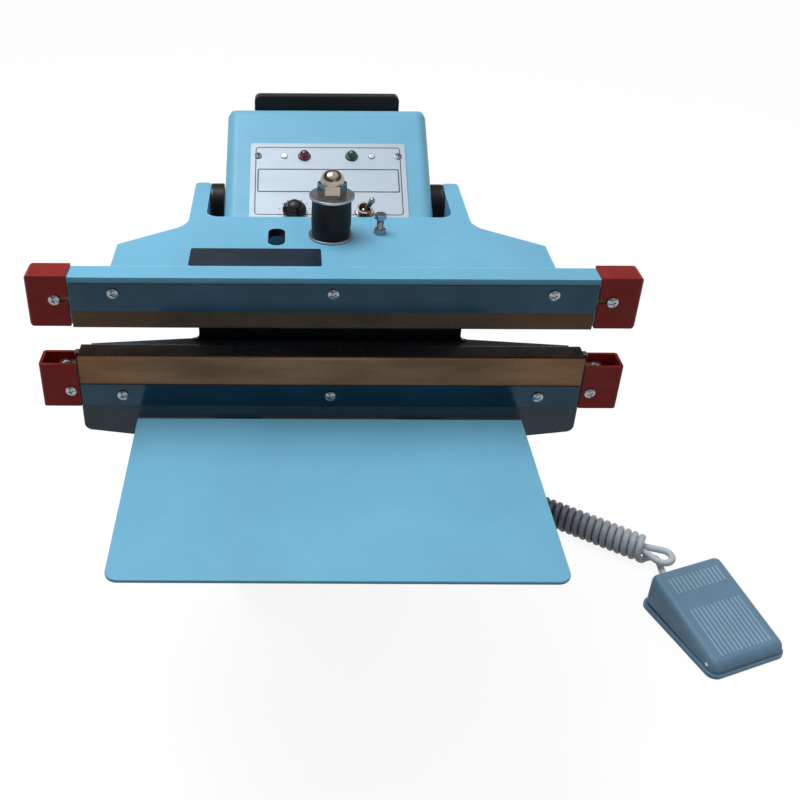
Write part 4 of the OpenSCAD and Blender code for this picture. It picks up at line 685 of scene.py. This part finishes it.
def roundEnds(piece, spec):
    radius = spec["radius"] * mm
    far = max(abs(vertex.co.x) for vertex in piece.data.vertices) - hair
    mesh = startEdit(piece, "EDGE")

    def outer(edge):
        tall = abs(edge.verts[0].co.z - edge.verts[1].co.z) > 2 * radius
        return all(abs(vertex.co.x) > far for vertex in edge.verts) and (tall or not spec["uprightOnly"])

    choose(piece, mesh.edges, outer)
    bpy.ops.mesh.bevel(offset=radius, segments=spec["steps"], affect="EDGES")
    endEdit()


def filletWaist(piece, spec):
    x, y = spec["x"] * mm, (spec["depth"] - originDepth) * mm
    mesh = startEdit(piece, "EDGE")

    def inCorner(vertex):
        return abs(abs(vertex.co.x) - x) < 4 * hair and abs(vertex.co.y - y) < 4 * hair

    choose(piece, mesh.edges, lambda edge: all(inCorner(vertex) for vertex in edge.verts))
    bpy.ops.mesh.bevel(offset=spec["radius"] * mm, segments=spec["steps"], affect="EDGES")
    endEdit()


def softenedCopy(node, width):
    piece = mergedCopy(node)
    if node in waistFillets:
        filletWaist(piece, waistFillets[node])
    if node in endRounds:
        roundEnds(piece, endRounds[node])
    applyModifier(piece, "BEVEL", width=width * mm, segments=3, limit_method="ANGLE",
                  angle_limit=math.radians(bevelAngle), miter_outer="MITER_ARC")
    smoothShade(piece)
    return finishPiece(piece, camel(node), slotOf[node], bodyOf(node), (node,))


for node in nodes:
    if node in edgeRounds:
        softenedCopy(node, edgeRounds[node])
    elif nodes[node].data.materials:
        nodes[node].data.materials[0] = finishes[slotOf[node]]
    else:
        nodes[node].data.materials.append(finishes[slotOf[node]])
print("solids dressed:", len(edgeRounds))


# coil springs, listed with the joint that bears on them, each a smoothed copy of its CAD solid
springTravel = {
    "return_spring": {"joint": "plunger_slide", "keep": 0.63},
    "foot_switch_spring": {"joint": "tread_hinge", "keep": 0.88},
}


def pressedSpring(node):
    piece = mergedCopy(node)
    smoothShade(piece, 50)
    finishPiece(piece, camel(node), slotOf[node], bodyOf(node), (node,))
    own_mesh(piece)


for node, spring in springTravel.items():
    pressedSpring(node)
print("springs fitted")


# console housing: a wedge with a round brow, round long edges and a small lip
consoleShape = {
    "slopeAt": (115, 348.5), "slope": 28.2,
    "round": 10, "brow": 15.5, "lip": 5, "corner": 4.5, "steps": 8, "wall": 3,
}


def consoleHousing(spec):
    low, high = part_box("console_housing")
    rate = math.tan(math.radians(spec["slope"]))
    atDepth, atHeight = (spec["slopeAt"][0] - originDepth) * mm, spec["slopeAt"][1] * mm
    selectNone()
    bpy.ops.mesh.primitive_cube_add(size=2)
    piece = bpy.context.object
    mesh = startEdit(piece, "FACE")
    for vertex in mesh.verts:
        y = low.y if vertex.co.y < 0 else high.y
        top = atHeight + (y - atDepth) * rate
        vertex.co = (low.x if vertex.co.x < 0 else high.x, y, low.z if vertex.co.z < 0 else top)
    weights = mesh.edges.layers.float.new("bevel_weight_edge")
    for edge in mesh.edges:
        first, second = edge.verts
        heights = [vertex.co.z > low.z + mm for vertex in edge.verts]
        if not any(heights):
            continue
        if not all(heights):
            size = "corner"
        elif abs(first.co.y - second.co.y) > mm:
            size = "round"
        else:
            size = "brow" if first.co.y > high.y - mm else "lip"
        edge[weights] = spec[size] / spec["brow"]
    choose(piece, mesh.faces, lambda item: all(vertex.co.z < low.z + mm for vertex in item.verts))
    bpy.ops.mesh.delete(type="FACE")
    endEdit()
    applyModifier(piece, "BEVEL", width=spec["brow"] * mm, segments=spec["steps"], limit_method="WEIGHT")
    applyModifier(piece, "SOLIDIFY", thickness=spec["wall"] * mm, offset=-1)
    smoothShade(piece)
    return finishPiece(piece, "consoleHousing", "blue_paint", "base", ("console_housing",))


consoleHousing(consoleShape)


# foot switch tread: a ribbed wedge with soft edges, open below
# the ribs in a paler tone than the tread
finishes["worn_slate"] = moulding("wornSlatePlastic", tone(158, 188, 208), 0.5, 900, 0.15, 0.1)
footTread = {
    "place": (348, 8), "turn": 21,
    "width": 76, "length": 96, "frontHeight": 16, "rearHeight": 36, "round": 7, "steps": 7, "wall": 2.5,
    "skirtFront": 4.6, "skirtRear": 7.6,
    "ribWidth": 1.7, "ribRise": 0.7, "ribStep": 4.3, "ribRound": 0.4,
    "ribRows": [(13, 24, 16), (13, -40, 47)],
    "reliefHalf": 6.75, "reliefTop": 16,
}


def footSwitchTread(spec):
    half, reach = spec["width"] / 2, spec["length"] / 2
    rate = (spec["rearHeight"] - spec["frontHeight"]) / (spec["length"] - 2 * spec["round"])
    tilt = math.atan(rate)
    middle = (spec["rearHeight"] + spec["frontHeight"]) / 2 - spec["round"]
    selectNone()
    bpy.ops.mesh.primitive_cube_add(size=2)
    piece = bpy.context.object
    mesh = startEdit(piece, "EDGE")
    for vertex in mesh.verts:
        x, y = math.copysign(half, vertex.co.x), math.copysign(reach, vertex.co.y)
        skirt = spec["skirtFront"] if y < 0 else spec["skirtRear"]
        top = middle + y * rate + spec["round"] / math.cos(tilt)
        vertex.co = Vector((x, y, top if vertex.co.z > 0 else skirt)) * mm
    ceiling = (spec["skirtRear"] + 1) * mm
    choose(piece, mesh.edges, lambda item: any(vertex.co.z > ceiling for vertex in item.verts))
    bpy.ops.mesh.bevel(offset=spec["round"] * mm, segments=spec["steps"], affect="EDGES")
    mesh = bmesh.from_edit_mesh(piece.data)
    bpy.ops.mesh.select_mode(type="FACE")
    choose(piece, mesh.faces, lambda item: item.normal.z < -0.9)
    bpy.ops.mesh.delete(type="FACE")
    endEdit()
    applyModifier(piece, "SOLIDIFY", thickness=spec["wall"] * mm, offset=-1)
    notch = (2 * spec["reliefHalf"], 4 * spec["round"], spec["reliefTop"])
    cutAway(piece, addBox(notch, (0, reach, spec["reliefTop"] / 2)))
    ribs = []
    for count, start, length in spec["ribRows"]:
        for index in range(count):
            x = (index - (count - 1) / 2) * spec["ribStep"]
            rib = (spec["ribWidth"], length, 2 * spec["ribRise"])
            ribs.append(addBox(rib, (x, start + length / 2, spec["round"])))
    row = joinPieces(ribs)
    applyModifier(row, "BEVEL", width=spec["ribRound"] * mm, segments=3)
    row.rotation_euler = (tilt, 0, 0)
    row.location = (0, 0, middle * mm)
    applyPlace(row)
    for part in (piece, row):
        part.rotation_euler = (0, 0, math.radians(spec["turn"]))
        part.location = (spec["place"][0] * mm, (spec["place"][1] - originDepth) * mm, 0)
        applyPlace(part)
        smoothShade(part)
    finishPiece(piece, "footSwitchTread", "slate_plastic", "tread", ("foot_switch_tread",))
    finishPiece(row, "treadRibs", "worn_slate", "tread")


footSwitchTread(footTread)
print("console and tread modelled")


# pan-head screws with a cross recess
screwLook = {"slotWidth": 0.95, "slotLength": 4, "slotDepth": 1.7, "turn": 0.35}
knobJoint = next(joint for joint in frame["joints"] if joint["name"] == "knob_turn")
slopeNormal = Vector(knobJoint["axis"])
screwAxes = [Vector((0, -1, 0)), Vector((0, 1, 0)), Vector((0, 0, 1)), Vector((0, 0, -1)), slopeNormal]


def screwHead(points):
    centre = sum(points, Vector()) / len(points)
    best = None
    for axis in screwAxes:
        heights = [(point - centre).dot(axis) for point in points]
        radii = [((point - centre) - axis * height).length for point, height in zip(points, heights)]
        slack = max(radii)
        if best is None or slack < best[0] - 0.0001:
            headHigh = sum(h for h, r in zip(heights, radii) if r > 0.8 * slack) > 0
            best = (slack, centre + axis * max(heights), axis) if headHigh else best
    return best[1], best[2]


def crossedScrews(node, name):
    piece = mergedCopy(node)
    cutters = []
    for points in islands(piece):
        top, axis = screwHead(points)
        turn = axis.to_track_quat("Z", "Y")
        for quarter in (0, math.pi / 2):
            cutter = addBox((screwLook["slotWidth"], screwLook["slotLength"], 2 * screwLook["slotDepth"]), (0, 0, 0))
            cutter.location = top
            cutter.rotation_mode = "QUATERNION"
            spun = Matrix.Rotation(screwLook["turn"] + quarter, 3, "Z")
            cutter.rotation_quaternion = turn @ spun.to_quaternion()
            applyPlace(cutter)
            cutters.append(cutter)
    cutAway(piece, joinPieces(cutters), use_self=True)
    smoothShade(piece, 30)
    return finishPiece(piece, name, slotOf[node], bodyOf(node), (node,))


crossedScrews("pan_screws", "panScrews")
crossedScrews("upper_pan_screws", "upperPanScrews")
print("screws cut")


# rubber buffer, spun with soft edges and a slight belly
bufferLook = {"edge": 1.2, "belly": 0.5, "rings": 8, "turns": 64, "boreOfNut": 0.6}


def bufferRubber(spec):
    low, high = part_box("buffer_rubber")
    centre = (low + high) / 2
    outer = (high.x - low.x) / 2
    nutLow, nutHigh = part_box("dome_nut")
    inner = (nutHigh.x - nutLow.x) / 2 * spec["boreOfNut"]
    edge = spec["edge"] * mm
    belly = spec["belly"] * mm
    profile = [(inner, low.z), (outer - edge, low.z)]
    for ring in range(spec["rings"] + 1):
        share = ring / spec["rings"]
        swell = math.sin(math.pi * share)
        rise = low.z + edge + (high.z - low.z - 2 * edge) * share
        profile.append((outer - belly + belly * swell, rise))
    profile += [(outer - edge, high.z), (inner, high.z)]
    piece = spinProfile(profile, centre, spec["turns"])
    smoothShade(piece, 50)
    return finishPiece(piece, "bufferRubber", "black_rubber", "arm", ("buffer_rubber",))


bufferRubber(bufferLook)


# brown cloth wrapped round each jaw and held by the clamp strips
clothLook = {
    "thickness": 0.45, "foldRound": 2.2, "foldSteps": 4, "cuts": 47,
    "ripple": 0.12, "rippleRates": (61, 97, 143), "rippleMargin": 2, "seed": 7,
}


def wrapCloth(node, name, upwards):
    points = nodePoints(node)
    low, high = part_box(node)
    near = 0.2 * mm
    front = [point.z for point in points if point.y < low.y + near]
    rear = [point.z for point in points if point.y > high.y - near]
    fold = min if upwards else max
    edge = max if upwards else min
    corners = [(low.y, edge(front)), (low.y, fold(front)), (high.y, fold(rear)), (high.y, edge(rear))]
    selectNone()
    bpy.ops.mesh.primitive_plane_add(size=1)
    piece = bpy.context.object
    mesh = startEdit(piece, "VERT")
    for vertex in mesh.verts:
        y, z = corners[0] if vertex.co.y < 0 else corners[1]
        vertex.co = (low.x if vertex.co.x < 0 else high.x, y, z)
    bmesh.update_edit_mesh(piece.data)
    for start, end in zip(corners[1:], corners[2:]):
        bpy.ops.mesh.select_mode(type="EDGE")
        mesh = bmesh.from_edit_mesh(piece.data)
        spot = Vector((0, start[0], start[1]))
        choose(piece, mesh.edges, lambda item: ((item.verts[0].co + item.verts[1].co) / 2 - spot).length < near)
        onward = (0, end[0] - start[0], end[1] - start[1])
        bpy.ops.mesh.extrude_edges_move(TRANSFORM_OT_translate={"value": onward})
    for y, z in corners[1:3]:
        mesh = bmesh.from_edit_mesh(piece.data)
        choose(piece, mesh.edges, lambda item: all(abs(vertex.co.y - y) < near and abs(vertex.co.z - z) < near
                                                   for vertex in item.verts))
        bpy.ops.mesh.bevel(offset=clothLook["foldRound"] * mm, segments=clothLook["foldSteps"], affect="EDGES")
    mesh = bmesh.from_edit_mesh(piece.data)
    choose(piece, mesh.edges, lambda item: abs(item.verts[0].co.x - item.verts[1].co.x) > near)
    bpy.ops.mesh.subdivide(number_cuts=clothLook["cuts"])
    bpy.ops.mesh.select_all(action="SELECT")
    bpy.ops.mesh.normals_make_consistent(inside=False)
    endEdit()
    side = -1 if upwards else 1
    if side * sum(face.normal.z for face in piece.data.polygons) < 0:
        piece.data.flip_normals()
    chance = random.Random(clothLook["seed"])
    ripples = [(rate, chance.uniform(0, 6.28)) for rate in clothLook["rippleRates"]]
    margin = clothLook["rippleMargin"] * mm
    for vertex in piece.data.vertices:  # faint ripples across the sealing face, never outside the solid
        if low.y + margin < vertex.co.y < high.y - margin:
            wave = sum(math.sin(vertex.co.x * rate + phase) for rate, phase in ripples) / len(ripples)
            vertex.co.z -= side * clothLook["ripple"] * mm * (0.5 + 0.5 * wave)
    applyModifier(piece, "SOLIDIFY", thickness=clothLook["thickness"] * mm, offset=-1)
    smoothShade(piece, 45)
    finishPiece(piece, name, "ptfe_cloth", bodyOf(node), (node,))
    return piece


wrapCloth("lower_ptfe_cover", "lowerGlassCloth", False)
upperCloth = wrapCloth("upper_ptfe_cover", "upperGlassCloth", True)
upperCloth.data.materials[0] = finishes["scorched_cloth"]  # darker than the lower one: painted shade under the arm


# the control panel's printed lines, rivets and scale dots, in millimetres from the panel's lower edge
panelPrint = {
    "border": {"in": 4, "line": 0.8, "round": 3},
    "box": {"low": 27, "high": 51, "half": 57.5, "line": 1, "round": 1.5},
    "ink": 0.06,
    "rivets": {"across": 35.8, "up": 64.5, "radius": 2.8, "rise": 1.1},
    "dots": {"count": 11, "radius": 12.5, "from": 215, "to": -35, "size": 0.55, "clear": 2},
}
finishes["panel_ink"] = moulding("panelInk", tone(44, 60, 72), 0.5, 800, 0.05)
finishes["label_plate"] = enamel("navyPlate", tone(22, 38, 54), 0.36, 0.1, 0.35)
slopeUp = Vector((0, slopeNormal.z, -slopeNormal.y))
slopeAngle = math.atan2(slopeUp.z, slopeUp.y)
panelPoints = nodePoints("control_panel")
panelTop = max(point.dot(slopeNormal) for point in panelPoints)
panelLow = min(point.dot(slopeUp) for point in panelPoints)
panelHigh = max(point.dot(slopeUp) for point in panelPoints)
panelHalf = max(point.x for point in panelPoints)
panelOrigin = slopeNormal * panelTop + slopeUp * panelLow


def ontoSlope(piece):
    piece.location = panelOrigin
    piece.rotation_euler = (slopeAngle, 0, 0)
    applyPlace(piece)
    return piece


def inkFrame(low, high, half, look, rise):
    selectNone()
    bpy.ops.mesh.primitive_plane_add(size=1)
    piece = bpy.context.object
    piece.scale = (2 * half * mm, (high - low) * mm, 1)
    piece.location = (0, (low + high) / 2 * mm, rise * mm)
    applyPlace(piece)
    startEdit(piece, "VERT")
    bpy.ops.mesh.select_all(action="SELECT")
    bpy.ops.mesh.bevel(offset=look["round"] * mm, segments=5, affect="VERTICES")
    bpy.ops.mesh.select_mode(type="FACE")
    bpy.ops.mesh.select_all(action="SELECT")
    bpy.ops.mesh.inset(thickness=look["line"] * mm)
    bpy.ops.mesh.delete(type="FACE")
    bpy.ops.mesh.select_all(action="SELECT")
    bpy.ops.mesh.extrude_region_move(TRANSFORM_OT_translate={"value": (0, 0, -rise * mm)})
    bpy.ops.mesh.select_all(action="SELECT")
    bpy.ops.mesh.normals_make_consistent(inside=False)
    endEdit()
    return piece


def dotCap(x, up, radius, rise, sides):
    selectNone()
    bpy.ops.mesh.primitive_cylinder_add(vertices=sides, radius=radius * mm, depth=rise * mm,
                                        location=(x * mm, up * mm, rise / 2 * mm))
    piece = bpy.context.object
    applyPlace(piece)
    mesh = startEdit(piece, "EDGE")
    choose(piece, mesh.edges, lambda item: min(vertex.co.z for vertex in item.verts) > rise * 0.9 * mm)
    bpy.ops.mesh.bevel(offset=min(rise * 0.7, radius * 0.45) * mm, segments=4, affect="EDGES")
    endEdit()
    smoothShade(piece, 60)
    return piece


def printPanel(spec):
    border = spec["border"]
    box = spec["box"]
    full = (panelHigh - panelLow) / mm
    pieces = [inkFrame(border["in"], full - border["in"], panelHalf / mm - border["in"], border, spec["ink"]),
              inkFrame(box["low"], box["high"], box["half"], box, spec["ink"])]
    knobLow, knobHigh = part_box("timer_knob")
    knobX = (knobLow.x + knobHigh.x) / 2 / mm
    knobUp = (Vector(knobJoint["pos_m"]).dot(slopeUp) - panelLow) / mm
    dots = spec["dots"]
    for index in range(dots["count"]):
        angle = math.radians(dots["from"] + (dots["to"] - dots["from"]) * index / (dots["count"] - 1))
        up = knobUp + dots["radius"] * math.sin(angle)
        if up > border["in"] + dots["clear"]:
            pieces.append(dotCap(knobX + dots["radius"] * math.cos(angle), up, dots["size"], spec["ink"], 16))
    finishPiece(ontoSlope(joinPieces(pieces)), "panelInkLines", "panel_ink", "base")
    rivet = spec["rivets"]
    heads = [dotCap(side * rivet["across"], rivet["up"], rivet["radius"], rivet["rise"], 32) for side in (-1, 1)]
    finishPiece(ontoSlope(joinPieces(heads)), "panelRivets", "zinc_plate", "base")


printPanel(panelPrint)
print("panel printed")


# black lining of the arm's slot: painted shade inside the slot
slotLook = {"x": -41, "depth": 70, "halfWidth": 8, "halfLength": 17, "lining": 0.6}


def slotLining(spec):
    x, y = spec["x"] * mm, (spec["depth"] - originDepth) * mm
    piece = mergedCopy("upper_arm")
    mesh = startEdit(piece, "FACE")

    def outside(item):
        middle = item.calc_center_median()
        return (abs(item.normal.z) > 0.3 or abs(middle.x - x) > spec["halfWidth"] * mm
                or abs(middle.y - y) > spec["halfLength"] * mm)
    choose(piece, mesh.faces, outside)
    bpy.ops.mesh.delete(type="FACE")
    endEdit()
    applyModifier(piece, "SOLIDIFY", thickness=spec["lining"] * mm, offset=1)
    smoothShade(piece, 50)
    return finishPiece(piece, "slotLining", "black_rubber", "arm")


slotLining(slotLook)


# black plates between the hinge brackets and the fork: painted shade filling the gap
gapShadePlate = {"gap": 0.1, "thick": 2.3, "hole": 10, "low": 297, "edge": 0.3, "sides": 64}


def wearPlates(spec):
    low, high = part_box("hinge_brackets")
    pinLow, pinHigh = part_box("pivot_pins")
    pivot = (pinLow + pinHigh) / 2
    radius = (high.y - low.y) / 2
    crown = high.z - radius
    pieces = []

    def addDisc(reach, thick, place):
        selectNone()
        bpy.ops.mesh.primitive_cylinder_add(vertices=spec["sides"], radius=reach, depth=thick * mm,
                                            location=place, rotation=(0, math.pi / 2, 0))
        applyPlace(bpy.context.object)
        return bpy.context.object

    for side in (-1, 1):
        x = side * (high.x + (spec["gap"] + spec["thick"] / 2) * mm)
        piece = addDisc(radius, spec["thick"], (x, pivot.y, crown))
        startEdit(piece)
        bpy.ops.mesh.select_all(action="SELECT")
        bpy.ops.mesh.bisect(plane_co=(0, 0, crown), plane_no=(0, 0, 1), clear_inner=True, use_fill=True)
        mesh = bmesh.from_edit_mesh(piece.data)
        choose(piece, mesh.faces, lambda item: item.normal.z < -0.9)
        bpy.ops.mesh.extrude_region_move(TRANSFORM_OT_translate={"value": (0, 0, spec["low"] * mm - crown)})
        bpy.ops.mesh.select_all(action="SELECT")
        bpy.ops.mesh.normals_make_consistent(inside=False)
        endEdit()
        cutAway(piece, addDisc(spec["hole"] * mm, 4 * spec["thick"], (x, pivot.y, pivot.z)))
        pieces.append(piece)
    both = joinPieces(pieces)
    applyModifier(both, "BEVEL", width=spec["edge"] * mm, segments=2, limit_method="ANGLE")
    smoothShade(both)
    return finishPiece(both, "wearPlates", "black_plastic", "base")


wearPlates(gapShadePlate)


# upstand across the deck, in front of the cabinet; its black is painted shade under the upper jaw
deckRib = {
    "half": 100, "foot": 105, "low": 281, "high": 292, "footRise": 0.4,
    "front": 36, "thick": 3.6, "fillet": 4.5, "edge": 0.5,
}


def deckUpstand(spec):
    footTop = (spec["low"] + spec["footRise"]) * mm
    place = (0, spec["front"] + spec["thick"] / 2 - originDepth, (spec["low"] + spec["high"]) / 2)
    piece = addBox((2 * spec["half"], spec["thick"], spec["high"] - spec["low"]), place)
    startEdit(piece)
    bpy.ops.mesh.select_all(action="SELECT")
    bpy.ops.mesh.bisect(plane_co=(0, 0, footTop), plane_no=(0, 0, 1))
    mesh = bmesh.from_edit_mesh(piece.data)
    choose(piece, mesh.faces, lambda item: abs(item.normal.x) > 0.9 and item.calc_center_median().z < footTop)
    bpy.ops.mesh.extrude_faces_move(TRANSFORM_OT_shrink_fatten={"value": (spec["foot"] - spec["half"]) * mm})
    bpy.ops.mesh.select_mode(type="EDGE")
    mesh = bmesh.from_edit_mesh(piece.data)

    def inFootCorner(vertex):
        return abs(abs(vertex.co.x) - spec["half"] * mm) < mergeReach and abs(vertex.co.z - footTop) < mergeReach

    choose(piece, mesh.edges, lambda item: abs(item.verts[0].co.y - item.verts[1].co.y) > mm
           and all(inFootCorner(vertex) for vertex in item.verts))
    bpy.ops.mesh.bevel(offset=spec["fillet"] * mm, segments=6, affect="EDGES")
    bpy.ops.mesh.select_all(action="SELECT")
    bpy.ops.mesh.normals_make_consistent(inside=False)
    endEdit()
    applyModifier(piece, "BEVEL", width=spec["edge"] * mm, segments=2, limit_method="ANGLE",
                  angle_limit=math.radians(60))
    smoothShade(piece)
    # black finish: painted shade under the upper jaw
    return finishPiece(piece, "deckUpstand", "black_paint", "base")


deckUpstand(deckRib)


# bare plate on the arm, behind the upper jaw
armPlate = {"left": -104, "right": -8, "front": 20.5, "rear": 48.8, "thick": 0.5, "round": 2, "edge": 0.2}


def barePlate(spec):
    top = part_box("upper_jaw_beam")[1].z
    piece = addBox((spec["right"] - spec["left"], spec["rear"] - spec["front"], spec["thick"]),
                   ((spec["right"] + spec["left"]) / 2, (spec["front"] + spec["rear"]) / 2 - originDepth,
                    top / mm + spec["thick"] / 2))
    mesh = startEdit(piece, "EDGE")
    choose(piece, mesh.edges, lambda item: abs(item.verts[0].co.z - item.verts[1].co.z) > 0.1 * mm)
    bpy.ops.mesh.bevel(offset=spec["round"] * mm, segments=4, affect="EDGES")
    endEdit()
    applyModifier(piece, "BEVEL", width=spec["edge"] * mm, segments=2, limit_method="ANGLE")
    smoothShade(piece)
    return finishPiece(piece, "armPlate", "label_plate", "arm")


barePlate(armPlate)


# thread on the limit screw, between its lock nut and its head
limitThread = {"pitch": 0.8, "depth": 0.35, "turns": 40, "headHeight": 4, "nutHeight": 4, "core": 0.8}


def threadRings(spec):
    low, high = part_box("limit_screw")
    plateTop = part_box("upper_jaw_beam")[1].z
    centre = Vector(((low.x + high.x) / 2, (low.y + high.y) / 2, 0))
    start = plateTop + spec["nutHeight"] * mm
    end = high.z - spec["headHeight"] * mm
    tip = [point for point in nodePoints("limit_screw") if point.z < low.z + mm]
    reaches = [(point.xy - centre.xy).length for point in tip]
    shank = min(reach for reach in reaches if reach > mm)
    count = int((end - start) / (spec["pitch"] * mm))
    pitch = (end - start) / count
    core = shank * spec["core"]
    profile = [(core, start)]
    for index in range(count):
        profile += [(shank, start + index * pitch), (shank + spec["depth"] * mm, start + (index + 0.5) * pitch)]
    profile += [(shank, end), (core, end)]
    piece = spinProfile(profile, centre, spec["turns"])
    smoothShade(piece, 30)
    return finishPiece(piece, "limitThread", "bright_screw", "arm")


threadRings(limitThread)
print("small parts made")
